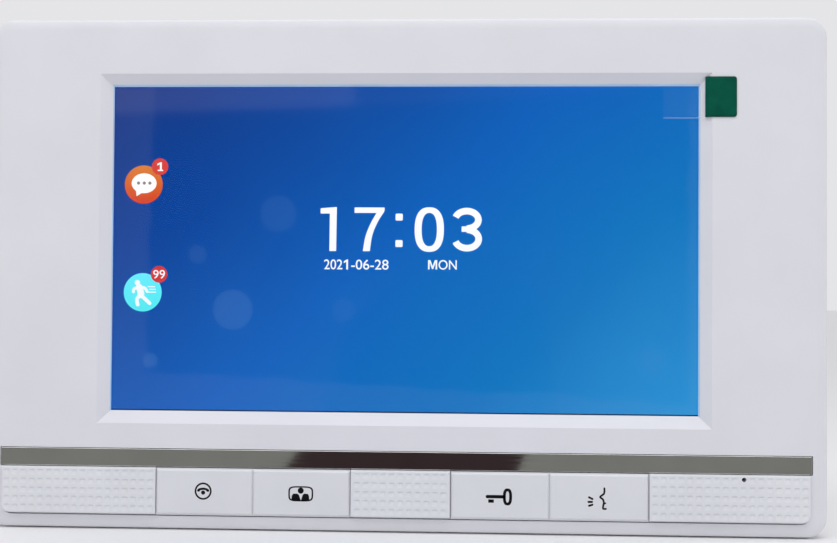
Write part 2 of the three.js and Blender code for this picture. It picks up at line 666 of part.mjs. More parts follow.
function addFasteners() {
  const shape = housingScrew();
  screwPlaces.forEach(([x, z], i) => place(`housing_screw_${i + 1}`, shape, screwSteel, x, 0, z));
}

// ---------------------------------------------------------------- assembly

place("wall_bracket", wallBracket(), sheetSteel);
place("rear_housing", rearHousing(), rearAbs);
place("front_housing", frontHousing(), whiteAbs);
addFrontParts();
addKeyBoard();
addDisplay();
addMainBoard();
addSpeaker();
addFasteners();

export default group;
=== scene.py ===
# Video intercom monitor: the looks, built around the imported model.
# Lengths are in metres unless a name ends in Mm. The screen faces -Y, +Z is up, the wall is at y = 0.
import json
import math

import bmesh
import bpy
import numpy as np
from mathutils import Matrix, Vector


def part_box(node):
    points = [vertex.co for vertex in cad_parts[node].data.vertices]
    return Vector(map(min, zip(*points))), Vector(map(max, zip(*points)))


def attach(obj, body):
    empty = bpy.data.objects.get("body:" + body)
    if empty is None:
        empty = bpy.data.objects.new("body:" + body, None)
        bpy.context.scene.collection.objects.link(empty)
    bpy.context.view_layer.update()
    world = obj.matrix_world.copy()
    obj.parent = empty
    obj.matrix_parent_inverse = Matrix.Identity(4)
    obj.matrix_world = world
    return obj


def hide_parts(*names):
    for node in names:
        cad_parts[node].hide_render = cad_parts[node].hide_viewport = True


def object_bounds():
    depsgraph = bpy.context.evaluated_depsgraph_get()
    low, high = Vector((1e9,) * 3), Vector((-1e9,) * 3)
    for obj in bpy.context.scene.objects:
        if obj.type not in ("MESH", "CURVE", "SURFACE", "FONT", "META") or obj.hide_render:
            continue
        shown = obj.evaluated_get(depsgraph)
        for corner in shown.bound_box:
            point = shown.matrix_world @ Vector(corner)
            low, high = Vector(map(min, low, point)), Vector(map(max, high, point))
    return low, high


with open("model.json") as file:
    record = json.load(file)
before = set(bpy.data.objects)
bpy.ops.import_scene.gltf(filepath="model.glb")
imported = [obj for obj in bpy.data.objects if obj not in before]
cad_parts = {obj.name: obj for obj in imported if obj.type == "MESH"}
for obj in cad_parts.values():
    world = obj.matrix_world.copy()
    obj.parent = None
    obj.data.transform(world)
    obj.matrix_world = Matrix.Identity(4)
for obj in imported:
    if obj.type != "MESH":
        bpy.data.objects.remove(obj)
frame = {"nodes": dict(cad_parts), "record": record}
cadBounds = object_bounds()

mm = 0.001
scene = bpy.context.scene
scene.view_settings.view_transform = "Standard"
slotOf = {part["node"]: part["material_slot"] for part in frame["record"]["subparts"]}
bodies = frame["record"]["behaviour"]["bodies"]
bodyOf = {node: body for body, nodes in bodies.items() for node in nodes}


# ---- small tools ----

# sRGB hex to linear, by the standard curve: x / 12.92 near black, ((x + 0.055) / 1.055) ^ 2.4 above it
def linearColour(hexColour):
    channels = np.array([int(hexColour[i : i + 2], 16) for i in (1, 3, 5)]) / 255
    low = channels / 12.92
    high = ((channels + 0.055) / 1.055) ** 2.4
    return (*np.where(channels <= 0.04045, low, high).tolist(), 1.0)


# adds one node, sets its properties, and fills its sockets with values or with other nodes' outputs
def addNode(tree, kind, settings=None, sockets=None):
    made = tree.nodes.new(kind)
    for name, value in (settings or {}).items():
        setattr(made, name, value)
    for name, value in (sockets or {}).items():
        if isinstance(value, bpy.types.NodeSocket):
            tree.links.new(value, made.inputs[name])
        else:
            made.inputs[name].default_value = value
    return made


# a material with one Principled shader; returns it with its tree, shader and Object coordinates
def startMaterial(name, hexColour, **sockets):
    material = bpy.data.materials.new(name)
    material.use_nodes = True
    tree = material.node_tree
    tree.nodes.clear()
    sockets["Base Color"] = linearColour(hexColour)
    shader = addNode(tree, "ShaderNodeBsdfPrincipled", sockets=sockets)
    addNode(tree, "ShaderNodeOutputMaterial", sockets={"Surface": shader.outputs[0]})
    place = addNode(tree, "ShaderNodeTexCoord").outputs["Object"]
    return material, tree, shader, place


# noise of one grain size; a Noise node's scale is one over the grain in metres
def grainHeight(tree, place, grainMm, detail=2.0):
    sockets = {"Vector": place, "Scale": 1 / (grainMm * mm), "Detail": detail}
    return addNode(tree, "ShaderNodeTexNoise", sockets=sockets).outputs["Fac"]


# links a height to the shader's normal; depthMm is the height from black to white
def linkBump(tree, shader, height, depthMm):
    bump = addNode(tree, "ShaderNodeBump", sockets={"Height": height, "Distance": depthMm * mm})
    tree.links.new(bump.outputs[0], shader.inputs["Normal"])


# blends two hex colours by a 0 to 1 value and links the result to the base colour
def linkTone(tree, shader, factor, darkHex, lightHex, low=0.3, high=0.7):
    ranged = {"Value": factor, "From Min": low, "From Max": high}
    spread = addNode(tree, "ShaderNodeMapRange", sockets=ranged).outputs[0]
    sockets = {0: spread, 6: linearColour(darkHex), 7: linearColour(lightHex)}
    mix = addNode(tree, "ShaderNodeMix", {"data_type": "RGBA"}, sockets)
    tree.links.new(mix.outputs[2], shader.inputs["Base Color"])


# maps noise to a roughness between two values
def linkRoughness(tree, shader, factor, low, high):
    ranged = {"Value": factor, "From Min": 0.3, "From Max": 0.7, "To Min": low, "To Max": high}
    spread = addNode(tree, "ShaderNodeMapRange", sockets=ranged)
    tree.links.new(spread.outputs[0], shader.inputs["Roughness"])


# shades smooth across gentle angles and sharp across the rest
def shadeByAngle(mesh, degrees):
    shape = bmesh.new()
    shape.from_mesh(mesh)
    for face in shape.faces:
        face.smooth = True
    for edge in shape.edges:
        edge.smooth = edge.calc_face_angle(0.0) < math.radians(degrees)
    shape.to_mesh(mesh)
    shape.free()


# turns every face outwards, after merging doubled points if a distance is given
def outwardFaces(mesh, mergeWithin=0.0):
    shape = bmesh.new()
    shape.from_mesh(mesh)
    if mergeWithin:
        bmesh.ops.remove_doubles(shape, verts=shape.verts, dist=mergeWithin)
    bmesh.ops.recalc_face_normals(shape, faces=shape.faces)
    shape.to_mesh(mesh)
    shape.free()


# puts an object in the scene and makes it ride, with its slot and the nodes it stands for
def addPiece(name, mesh, material, body, replaced=()):
    piece = bpy.data.objects.new(name, mesh)
    scene.collection.objects.link(piece)
    if not mesh.materials:
        mesh.materials.append(material)
    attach(piece, body)
    if replaced:
        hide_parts(*replaced)
    return piece


# a copy of a node's mesh with its loose triangles merged and its flat areas made whole
def mergedCopy(nodeName, meshName):
    mesh = frame["nodes"][nodeName].data.copy()
    mesh.name = meshName
    mesh.materials.clear()
    shape = bmesh.new()
    shape.from_mesh(mesh)
    bmesh.ops.remove_doubles(shape, verts=shape.verts, dist=2e-6)
    flat = math.radians(0.4)
    bmesh.ops.dissolve_limit(shape, angle_limit=flat, verts=shape.verts, edges=shape.edges)
    shape.to_mesh(mesh)
    shape.free()
    return mesh


# ---- camera ----

view = {
    "placeMm": (20.93, -360.68, -7.15),
    "pitch": 1.321,
    "yaw": 2.8005,
    "roll": -0.385,
    "lens": 55.9,
}


# looks along +Y, then rolls about Y, pitches about X and yaws about Z
def makeCamera():
    data = bpy.data.cameras.new("viewCamera")
    data.lens = view["lens"]
    data.clip_start = 0.01
    camera = bpy.data.objects.new("viewCamera", data)
    scene.collection.objects.link(camera)
    forward = Matrix.Rotation(math.pi / 2, 4, "X")
    yaw = Matrix.Rotation(math.radians(view["yaw"]), 4, "Z")
    pitch = Matrix.Rotation(math.radians(view["pitch"]), 4, "X")
    roll = Matrix.Rotation(math.radians(view["roll"]), 4, "Y")
    place = Matrix.Translation(Vector(view["placeMm"]) * mm)
    camera.matrix_world = place @ yaw @ pitch @ roll @ forward
    scene.camera = camera


makeCamera()


# ---- floor, light and what the mirror finish reflects ----

studio = {
    "floorHex": "#ECECED",
    "floorReach": 12.0,
    "floorGapMm": 0.4,
    "worldHex": "#FAFAFC",
    "worldStrength": 0.82,
    "overheadPlace": (0.03, -0.30, 0.52),
    "overheadSize": (0.8, 0.26),
    "overheadPower": 1.6,
    "roomY": -0.9,
    # height and grey of each stop
    "roomStops": [
        *[(-4.0, 0.06), (-0.9, 0.2), (-0.13, 0.23), (-0.10, 0.16)],
        *[(0.0, 0.10), (0.07, 0.03), (1.6, 0.03)],
    ],
    "viewerHex": "#3A2E31",
    "viewerBehindMm": 4.0,
    "patchY": -0.89,
    "patchGlow": 0.62,
    "faintPatchGlow": 0.18,
}


# a flat rectangle from its corner points, which is part of the set and not of the object
def setCard(name, corners, material):
    mesh = bpy.data.meshes.new(name)
    mesh.from_pydata(corners, [], [tuple(range(len(corners)))])
    mesh.materials.append(material)
    card = bpy.data.objects.new(name, mesh)
    scene.collection.objects.link(card)
    return card


# A card that only mirror-like surfaces see, so it lights nothing. Its glow follows grey stops up its height,
# or is one colour.
def reflectedCard(name, corners, colour=None, stops=()):
    material, tree, shader, place = startMaterial(name, "#000000")
    shader.inputs["Emission Color"].default_value = colour or (1, 1, 1, 1)
    shader.inputs["Emission Strength"].default_value = 1.0
    shader.inputs["Specular IOR Level"].default_value = 0.0
    if stops:
        height = addNode(tree, "ShaderNodeSeparateXYZ", sockets={0: place}).outputs[2]
        low, high = stops[0][0], stops[-1][0]
        sockets = {"Value": height, "From Min": low, "From Max": high}
        share = addNode(tree, "ShaderNodeMapRange", sockets=sockets).outputs[0]
        ramp = addNode(tree, "ShaderNodeValToRGB", sockets={0: share})
        elements = ramp.color_ramp.elements
        for _ in stops[2:]:
            elements.new(0.5)
        for element, (z, grey) in zip(elements, stops):
            element.position = (z - low) / (high - low)
            element.color = (grey, grey * 1.02, grey * 0.97, 1)
        tree.links.new(ramp.outputs[0], shader.inputs["Emission Color"])
    card = setCard(name, corners, material)
    card.visible_camera = False
    card.visible_diffuse = False
    card.visible_shadow = False
    card.visible_transmission = False


def makeStudio():
    material, tree, shader, place = startMaterial("matt pale paper", studio["floorHex"], Roughness=0.8)
    linkBump(tree, shader, grainHeight(tree, place, 1.2), 0.05)
    z = cadBounds[0].z - studio["floorGapMm"] * mm
    reach = studio["floorReach"]
    corners = [(-reach, -reach, z), (reach, -reach, z), (reach, reach, z), (-reach, reach, z)]
    floor = setCard("floor", corners, material)
    floor.visible_glossy = False
    world = bpy.data.worlds.new("softRoom")
    world.use_nodes = True
    background = world.node_tree.nodes["Background"]
    background.inputs[0].default_value = linearColour(studio["worldHex"])
    background.inputs[1].default_value = studio["worldStrength"]
    scene.world = world
    light = bpy.data.lights.new("overheadSoftbox", "AREA")
    light.shape = "RECTANGLE"
    light.size, light.size_y = studio["overheadSize"]
    light.energy = studio["overheadPower"]
    lamp = bpy.data.objects.new("overheadSoftbox", light)
    scene.collection.objects.link(lamp)
    lamp.location = studio["overheadPlace"]
    lamp.rotation_euler = (-Vector(studio["overheadPlace"])).to_track_quat("-Z", "Y").to_euler()


# The dim room behind the viewer, a pale patch high in it with a fainter one beside it, and the viewer's own
# dark outline low in it.
def makeReflections():
    low, high = studio["roomStops"][0][0], studio["roomStops"][-1][0]
    y = studio["roomY"]
    room = [(-3, y, low), (-3, y, high), (3, y, high), (3, y, low)]
    reflectedCard("reflectedRoom", room, stops=studio["roomStops"])
    y = (view["placeMm"][1] - studio["viewerBehindMm"]) * mm
    left = [(-0.20, -0.40), (-0.088, -0.104), (-0.074, -0.084), (-0.0635, -0.065), (-0.05, -0.02)]
    right = [(0.05, 0.0), (0.061, -0.066), (0.044, -0.084), (0.040, -0.096), (0.036, -0.40)]
    viewer = [(x, y, z) for x, z in [*left, (-0.02, 0.012), (0.02, 0.022), *right]]
    reflectedCard("reflectedViewer", viewer, linearColour(studio["viewerHex"]))
    y, glow, faint = studio["patchY"], studio["patchGlow"], studio["faintPatchGlow"]
    patch = [(-0.36, y, 0.168), (-0.36, y, 0.30), (-0.09, y, 0.30), (-0.10, y, 0.176)]
    reflectedCard("reflectedCeiling", patch, (glow, glow, glow, 1))
    patch = [(-0.10, y, 0.176), (-0.09, y, 0.30), (0.32, y, 0.30), (0.32, y, 0.20)]
    reflectedCard("reflectedCeilingFar", patch, (faint, faint, faint, 1))


makeStudio()
makeReflections()
print("camera, floor and light ready")


# ---- plastics ----

# ABS, injection moulded in a satin tool: milky white, soft broad highlight, barely visible grain
def satinAbs(name, darkHex, lightHex, roughness=(0.36, 0.46)):
    material, tree, shader, place = startMaterial(name, lightHex, IOR=1.54)
    linkTone(tree, shader, grainHeight(tree, place, 22.0, 3.0), darkHex, lightHex)
    linkRoughness(tree, shader, grainHeight(tree, place, 6.0, 4.0), *roughness)
    linkBump(tree, shader, grainHeight(tree, place, 0.25), 0.004)
    return material


# ABS with a spark-eroded texture: dry, evenly pitted, no clear highlight; pits drawn at 0.5 mm so they show
def sparkErodedAbs():
    material, tree, shader, place = startMaterial("spark-eroded white ABS", "#D3D3D5", IOR=1.54)
    linkTone(tree, shader, grainHeight(tree, place, 30.0, 3.0), "#CDCDCF", "#D6D6D8")
    linkRoughness(tree, shader, grainHeight(tree, place, 4.0), 0.58, 0.68)
    sockets = {"Vector": place, "Scale": 1 / (0.5 * mm), "Smoothness": 0.6}
    pits = addNode(tree, "ShaderNodeTexVoronoi", {"feature": "SMOOTH_F1"}, sockets)
    linkBump(tree, shader, pits.outputs["Distance"], 0.035)
    return material


# moulded engineering plastic in one colour, with a glossier skin and faint flow marks
def mouldedPlastic(name, darkHex, lightHex, roughness=(0.3, 0.42)):
    material, tree, shader, place = startMaterial(name, lightHex, IOR=1.53)
    linkTone(tree, shader, grainHeight(tree, place, 3.0, 3.0), darkHex, lightHex)
    linkRoughness(tree, shader, grainHeight(tree, place, 1.5), *roughness)
    linkBump(tree, shader, grainHeight(tree, place, 0.3), 0.005)
    return material


# ---- metals ----

# ABS strip under dark chrome plating: a near mirror, slightly cloudy, with hairlines along its length
def darkPlating():
    material, tree, shader, place = startMaterial("dark chrome plating", "#DEDEDA", Metallic=1.0)
    drawnOut = {"Vector": place, "Scale": (4.0, 200.0, 200.0)}      # 15 mm long and 0.3 mm apart at grain 60
    stretched = addNode(tree, "ShaderNodeMapping", sockets=drawnOut)
    hairlines = grainHeight(tree, stretched.outputs[0], 60.0, 4.0)
    linkRoughness(tree, shader, hairlines, 0.03, 0.075)
    linkTone(tree, shader, grainHeight(tree, place, 15.0), "#D9D9D4", "#E3E3DF")
    linkBump(tree, shader, hairlines, 0.0006)
    return material


# zinc-coated steel sheet: grey spangle in flat patches a few millimetres wide
def zincSteel():
    material, tree, shader, place = startMaterial("zinc-coated steel sheet", "#A9ABAD", Metallic=1.0)
    patches = {"Vector": place, "Scale": 1 / (2.6 * mm)}
    spangle = addNode(tree, "ShaderNodeTexVoronoi", {"feature": "F1"}, patches)
    tone = addNode(tree, "ShaderNodeSeparateColor", sockets={0: spangle.outputs["Color"]})
    linkTone(tree, shader, tone.outputs[0], "#96989B", "#B4B6B8", 0.0, 1.0)
    linkRoughness(tree, shader, tone.outputs[1], 0.32, 0.5)
    linkBump(tree, shader, grainHeight(tree, place, 0.4), 0.004)
    return material


# bright metal that was turned, pressed or drawn, with a fine grain and uneven polish
def brightMetal(name, darkHex, lightHex, roughness):
    material, tree, shader, place = startMaterial(name, lightHex, Metallic=1.0)
    linkTone(tree, shader, grainHeight(tree, place, 1.2, 3.0), darkHex, lightHex)
    linkRoughness(tree, shader, grainHeight(tree, place, 0.8), *roughness)
    linkBump(tree, shader, grainHeight(tree, place, 0.2), 0.003)
    return material


# ---- display ----

picture = {
    "colours": [(0.0, "#052E80"), (0.22, "#00449C"), (0.48, "#005EBC"), (0.76, "#0474C0"), (1.0, "#2490D2")],
    "acrossShare": 0.62,
    "downShare": 0.38,
    "cloudMm": 45.0,
    "cloudShare": 0.05,
    "glowHex": "#6FA0D0",
    "glowSoftMm": 0.5,
    # x, z, radius and strength of each round glow
    "glows": [
        (-33.0, 15.85, 4.8, 0.06),
        (-54.5, 5.0, 2.4, 0.06),
        (-44.9, -9.6, 5.25, 0.11),
        (-66.8, -23.25, 1.9, 0.12),
        (-15.5, -9.5, 3.1, 0.045),
        (65.0, -22.0, 3.6, 0.045),
    ],
    # a painted shadow line along the picture's foot, under the window's lip: its height in mm and its colour
    "footShadowMm": 0.04,
    "footShadowHex": "#12294A",
}
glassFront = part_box("touch_panel")[0].y
filmLow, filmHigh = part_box("protective_film")
pictureCentre = (filmLow + filmHigh) / 2
pictureSize = filmHigh - filmLow


# Display under glass: near-black gloss that glows with the picture. The picture's shade runs with
# t = across share * x + down share * (1 - z), each from 0 to 1 over the picture, plus soft round glows.
def litDisplay():
    name, sockets = "lit display under glass", {"Roughness": 0.05, "IOR": 1.5}
    material, tree, shader, place = startMaterial(name, "#020304", **sockets)
    perX = picture["acrossShare"] / pictureSize.x
    perZ = -picture["downShare"] / pictureSize.z
    fixed = 0.5 - perX * pictureCentre.x - perZ * pictureCentre.z
    slope = {0: place, 1: (perX, 0, perZ)}
    along = addNode(tree, "ShaderNodeVectorMath", {"operation": "DOT_PRODUCT"}, slope)
    sockets = {
        "Value": grainHeight(tree, place, picture["cloudMm"], 1.0),
        "To Min": fixed - picture["cloudShare"],
        "To Max": fixed + picture["cloudShare"],
    }
    cloud = addNode(tree, "ShaderNodeMapRange", sockets=sockets)
    sockets = {0: along.outputs["Value"], 1: cloud.outputs[0]}
    share = addNode(tree, "ShaderNodeMath", {"operation": "ADD"}, sockets)
    ramp = addNode(tree, "ShaderNodeValToRGB", sockets={0: share.outputs[0]})
    stops = ramp.color_ramp.elements
    for position, _ in picture["colours"][1:-1]:
        stops.new(position)
    for stop, (position, hexColour) in zip(stops, picture["colours"]):
        stop.position = position
        stop.color = linearColour(hexColour)
    colour = ramp.outputs[0]
    flat = addNode(tree, "ShaderNodeVectorMath", {"operation": "MULTIPLY"}, {0: place, 1: (1, 0, 1)})
    soft = picture["glowSoftMm"]
    for x, z, radius, strength in picture["glows"]:
        sockets = {0: flat.outputs[0], 1: (x * mm, 0, z * mm)}
        reach = addNode(tree, "ShaderNodeVectorMath", {"operation": "DISTANCE"}, sockets)
        sockets = {
            "Value": reach.outputs["Value"],
            "From Min": (radius - soft) * mm,
            "From Max": (radius + soft) * mm,
            "To Min": strength,
            "To Max": 0.0,
        }
        edge = addNode(tree, "ShaderNodeMapRange", {"interpolation_type": "SMOOTHSTEP"}, sockets)
        sockets = {0: edge.outputs[0], 6: colour, 7: linearColour(picture["glowHex"])}
        colour = addNode(tree, "ShaderNodeMix", {"data_type": "RGBA"}, sockets).outputs[2]
    tree.links.new(pictureWithFootShadow(tree, place, colour), shader.inputs["Emission Color"])
    shader.inputs["Emission Strength"].default_value = 1.0
    return material


# how far a point lies past a line, in metres: direction . place - limit
def pastLine(tree, place, direction, limit):
    sockets = {0: place, 1: direction}
    along = addNode(tree, "ShaderNodeVectorMath", {"operation": "DOT_PRODUCT"}, sockets)
    sockets = {0: along.outputs["Value"], 1: limit}
    return addNode(tree, "ShaderNodeMath", {"operation": "SUBTRACT"}, sockets).outputs[0]


# the largest of a few values
def largestOf(tree, values):
    largest = values[0]
    for value in values[1:]:
        sockets = {0: largest, 1: value}
        largest = addNode(tree, "ShaderNodeMath", {"operation": "MAXIMUM"}, sockets).outputs[0]
    return largest


# the picture with a painted shadow line along its foot, where the window's lip shades it
def pictureWithFootShadow(tree, place, colour):
    foot = pictureCentre.z - pictureSize.z / 2 + picture["footShadowMm"] * mm
    below = pastLine(tree, place, (0, 0, -1), -foot)
    past = addNode(tree, "ShaderNodeMath", {"operation": "GREATER_THAN"}, {0: below, 1: 0.0})
    sockets = {0: past.outputs[0], 6: colour, 7: linearColour(picture["footShadowHex"])}
    return addNode(tree, "ShaderNodeMix", {"data_type": "RGBA"}, sockets).outputs[2]


# a lit mark in the picture: plain emission with a faint vertical fade, on black gloss
def litMark(name, lowHex, highHex, lowZ, highZ):
    material, tree, shader, place = startMaterial(name, "#050505", Roughness=0.3)
    height = addNode(tree, "ShaderNodeSeparateXYZ", sockets={0: place}).outputs[2]
    ranged = {"Value": height, "From Min": lowZ * mm, "From Max": highZ * mm}
    fade = addNode(tree, "ShaderNodeMapRange", sockets=ranged).outputs[0]
    sockets = {0: fade, 6: linearColour(lowHex), 7: linearColour(highHex)}
    mix = addNode(tree, "ShaderNodeMix", {"data_type": "RGBA"}, sockets)
    tree.links.new(mix.outputs[2], shader.inputs["Emission Color"])
    shader.inputs["Emission Strength"].default_value = 1.0
    return material


film = {
    "haze": 0.003,
    # the milky bands along the film's edges are painted reflection
    "paintedEdgeSheen": 0.011,
    # the way each band's inner edge faces, and how far out it lies in mm
    "edges": [((-1, 0, 0.02), 67.4), ((1, 0, 0), 74.6), ((-0.05, 0, -1), 29.6)],
    "fadeMm": 1.6,
    "waveMm": 2.0,
    "waveGrainMm": 9.0,
    "rippleMm": 24.0,
    "rippleDepthMm": 0.1,
}


# Polyester protective film: clear and glossy, with milky bands near its left, right and lower edges painted
# in as reflection
def clearFilm():
    name, sockets = "clear polyester film", {"Roughness": 0.12, "IOR": 1.5}
    material, tree, shader, place = startMaterial(name, "#E6EEF7", **sockets)
    past = largestOf(tree, [pastLine(tree, place, way, limit * mm) for way, limit in film["edges"]])
    wave, cloud = film["waveMm"] * mm, grainHeight(tree, place, film["waveGrainMm"])
    wavy = addNode(tree, "ShaderNodeMapRange", sockets={"Value": cloud, "To Min": -wave, "To Max": wave})
    uneven = addNode(tree, "ShaderNodeMath", {"operation": "ADD"}, {0: past, 1: wavy.outputs[0]})
    sockets = {
        "Value": uneven.outputs[0],
        "From Min": -film["fadeMm"] / 2 * mm,
        "From Max": film["fadeMm"] / 2 * mm,
        "To Min": film["haze"],
        "To Max": film["paintedEdgeSheen"],
    }
    alpha = addNode(tree, "ShaderNodeMapRange", {"interpolation_type": "SMOOTHSTEP"}, sockets)
    tree.links.new(alpha.outputs[0], shader.inputs["Alpha"])
    linkBump(tree, shader, grainHeight(tree, place, film["rippleMm"], 1.0), film["rippleDepthMm"])
    return material


# the film's turned-up rim: milky, its pale blue a painted reflection of the picture's light
def filmRimWithPaintedReflection():
    material, tree, shader, place = startMaterial("milky film edge with painted picture reflection", "#ABCFEE", Roughness=0.4)
    linkTone(tree, shader, grainHeight(tree, place, 14.0), "#A3C8EA", "#B4D6F2")
    linkBump(tree, shader, grainHeight(tree, place, 2.0), 0.01)
    return material


# the milky line on the tape's cut lower edge is a painted highlight
tape = {"haze": 0.006, "paintedEdgeSheen": 0.34, "edgeMm": 0.11}


# polyester tape, seen only by a trace of haze and by its cut lower edge, where a milky line is painted as the
# highlight that edge catches
def clearTape():
    material, tree, shader, place = startMaterial("clear polyester tape", "#F2F6FA", Roughness=0.2)
    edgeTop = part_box("film_pull_tab")[0].z + tape["edgeMm"] * mm
    above = pastLine(tree, place, (0, 0, 1), edgeTop)
    inside = addNode(tree, "ShaderNodeMath", {"operation": "GREATER_THAN"}, {0: above, 1: 0.0})
    sockets = {"Value": inside.outputs[0], "To Min": tape["paintedEdgeSheen"], "To Max": tape["haze"]}
    alpha = addNode(tree, "ShaderNodeMapRange", sockets=sockets)
    tree.links.new(alpha.outputs[0], shader.inputs["Alpha"])
    linkBump(tree, shader, grainHeight(tree, place, 5.0), 0.02)
    return material


# printed paper-backed tape: deep green, slightly mottled, with the fine tooth of its print
def greenTape():
    material, tree, shader, place = startMaterial("green printed tape", "#03503F", Roughness=0.6)
    shader.inputs["Specular IOR Level"].default_value = 0.05
    linkTone(tree, shader, grainHeight(tree, place, 3.0, 4.0), "#024A3A", "#065644")
    linkBump(tree, shader, grainHeight(tree, place, 0.3), 0.012)
    return material


# pad-printed ink: near black, matt, edges laid slightly over the plastic
def blackInk():
    material, tree, shader, place = startMaterial("black pad-printed ink", "#0D0E12", Roughness=0.6)
    shader.inputs["Specular IOR Level"].default_value = 0.2
    linkTone(tree, shader, grainHeight(tree, place, 0.8), "#0A0B0E", "#131419")
    return material


# ---- boards and inner materials ----

# fibreglass board under green solder mask: copper tracks show as raised, lighter lines, drawn 1.3 mm apart so
# they show
def solderMask():
    material, tree, shader, place = startMaterial("green solder mask", "#14502C", Roughness=0.28)
    upright = {"Vector": place, "Rotation": (math.pi / 2, 0, 0)}
    sockets = {
        "Vector": addNode(tree, "ShaderNodeMapping", sockets=upright).outputs[0],
        "Scale": 1.0,
        "Brick Width": 7.0 * mm,
        "Row Height": 1.3 * mm,
        "Mortar Size": 0.22 * mm,
        "Color1": (0, 0, 0, 1),
        "Color2": (0.2, 0.2, 0.2, 1),
        "Mortar": (1, 1, 1, 1),
    }
    tracks = addNode(tree, "ShaderNodeTexBrick", sockets=sockets)
    linkTone(tree, shader, tracks.outputs["Color"], "#0F4424", "#1F6B3C", 0.0, 1.0)
    linkBump(tree, shader, tracks.outputs["Color"], 0.03)
    return material


# Polyimide film over copper: amber, glossy, with the tracks running its length. A Wave node's bands repeat
# every 2 pi / (20 * scale) metres, so 314 puts the tracks 1 mm apart.
def polyimideFlex():
    material, tree, shader, place = startMaterial("polyimide flex circuit", "#B4762A", Roughness=0.3)
    bands = {"wave_type": "BANDS", "bands_direction": "X"}
    tracks = addNode(tree, "ShaderNodeTexWave", bands, {"Vector": place, "Scale": 314.0})
    linkTone(tree, shader, tracks.outputs["Fac"], "#8E5417", "#C98A36", 0.2, 0.8)
    linkBump(tree, shader, tracks.outputs["Fac"], 0.02)
    return material


# pressed paper pulp: black-brown, fibrous and dull
def paperPulp():
    material, tree, shader, place = startMaterial("pressed paper cone", "#262422", Roughness=0.9)
    linkTone(tree, shader, grainHeight(tree, place, 0.5, 5.0), "#1C1A19", "#35322E")
    linkBump(tree, shader, grainHeight(tree, place, 0.35, 4.0), 0.04)
    return material


finish = {
    "shell_abs": satinAbs("satin white ABS", "#DADAE0", "#DEDEE4"),
    "key_abs": satinAbs("satin white key ABS", "#D9DADF", "#DEDFE3", roughness=(0.34, 0.44)),
    "textured_abs": satinAbs("dimpled white ABS", "#DADBE0", "#E0E2E6", roughness=(0.4, 0.5)),
    "rear_abs": sparkErodedAbs(),
    "plated_strip": darkPlating(),
    "clear_film": clearFilm(),
    "film_rim": filmRimWithPaintedReflection(),
    "clear_tape": clearTape(),
    "green_tape": greenTape(),
    "touch_glass": litDisplay(),
    "ink": blackInk(),
    "lcd_glass": mouldedPlastic("polariser on glass", "#141A22", "#1B222C", (0.12, 0.2)),
    "can_aluminium": brightMetal("pressed aluminium", "#B3B5B7", "#C8CACC", (0.26, 0.4)),
    "sheet_steel": zincSteel(),
    "screw_steel": brightMetal("nickel-plated steel", "#9A968F", "#B5B1A9", (0.2, 0.34)),
    "circuit_board": solderMask(),
    "black_plastic": mouldedPlastic("black moulded nylon", "#161617", "#202022", (0.4, 0.55)),
    "black_rubber": mouldedPlastic("black silicone rubber", "#101010", "#191919", (0.7, 0.85)),
    "green_plastic": mouldedPlastic("green moulded polyamide", "#16753B", "#1F8A4A"),
    "red_plastic": mouldedPlastic("red moulded polyester", "#9A1E1A", "#B72A24"),
    "white_plastic": mouldedPlastic("white moulded acetal", "#DCDCDA", "#EDEDEB"),
    "polyimide": polyimideFlex(),
    "paper_cone": paperPulp(),
}
print("materials ready:", len(finish))


# every carried-over node takes its slot's finish
def dressNodes():
    for nodeName, slotName in slotOf.items():
        mesh = frame["nodes"][nodeName].data
        mesh.materials.clear()
        mesh.materials.append(finish[slotName])


dressNodes()

# ---- shells, bracket, strip and inner parts ----

easing = {
    "sharpDegrees": 32,
    "flatWeight": 100,
    # piece name and edge radius in mm, by node
    "named": {
        "front_housing": ("front_shell", 0.16),
        "rear_housing": ("rear_shell", 0.25),
        "wall_bracket": ("bracket_plate", 0.15),
        "trim_strip": ("plated_strip", 0.08),
        "touch_panel": ("display_glass", 0.2),
        "terminal_block": ("wire_terminal", 0.12),
        "dip_switch": ("address_switch", 0.1),
        "key_monitor": ("monitor_cap", 0.2),
        "key_intercom": ("intercom_cap", 0.2),
        "key_unlock": ("unlock_cap", 0.2),
        "key_talk": ("talk_cap", 0.2),
    },
    # edge radius in mm, by the start of the node's name
    "families": {
        "housing_screw": 0.12,
        "terminal_screw": 0.08,
        "dip_slider": 0.12,
        "tact_switch": 0.1,
        "switch_plunger": 0.1,
        "capacitor": 0.25,
        "bus_transformer": 0.15,
        "video_chip": 0.1,
        "processor_shield": 0.25,
        "main_board": 0.08,
        "speaker": 0.15,
        "microphone": 0.15,
        "display_flex": 0.06,
        "backlight_unit": 0.2,
        "lcd_panel": 0.08,
        "key_board": 0.08,
        "key_flex": 0.05,
    },
}


# a moulded or pressed piece: its node's own shape with rounded edges, its flat faces kept flat by weighted
# normals
def easedPiece(name, nodeName, edgeMm, segments=2):
    mesh = mergedCopy(nodeName, name)
    shadeByAngle(mesh, easing["sharpDegrees"])
    slotName = slotOf[nodeName]
    piece = addPiece(name, mesh, finish[slotName], bodyOf[nodeName], [nodeName])
    bevel = piece.modifiers.new("easedEdges", "BEVEL")
    bevel.width = edgeMm * mm
    bevel.segments = segments
    bevel.limit_method = "ANGLE"
    bevel.angle_limit = math.radians(easing["sharpDegrees"])
    weighted = piece.modifiers.new("flatFaces", "WEIGHTED_NORMAL")
    weighted.weight = easing["flatWeight"]


for nodeName in bodyOf:
    for start, edgeMm in easing["families"].items():
        if nodeName.startswith(start):
            easedPiece("eased_" + nodeName, nodeName, edgeMm)
for nodeName, (pieceName, edgeMm) in easing["named"].items():
    easedPiece(pieceName, nodeName, edgeMm, 3)
print("shells and inner parts ready")


# ---- dimpled pads ----

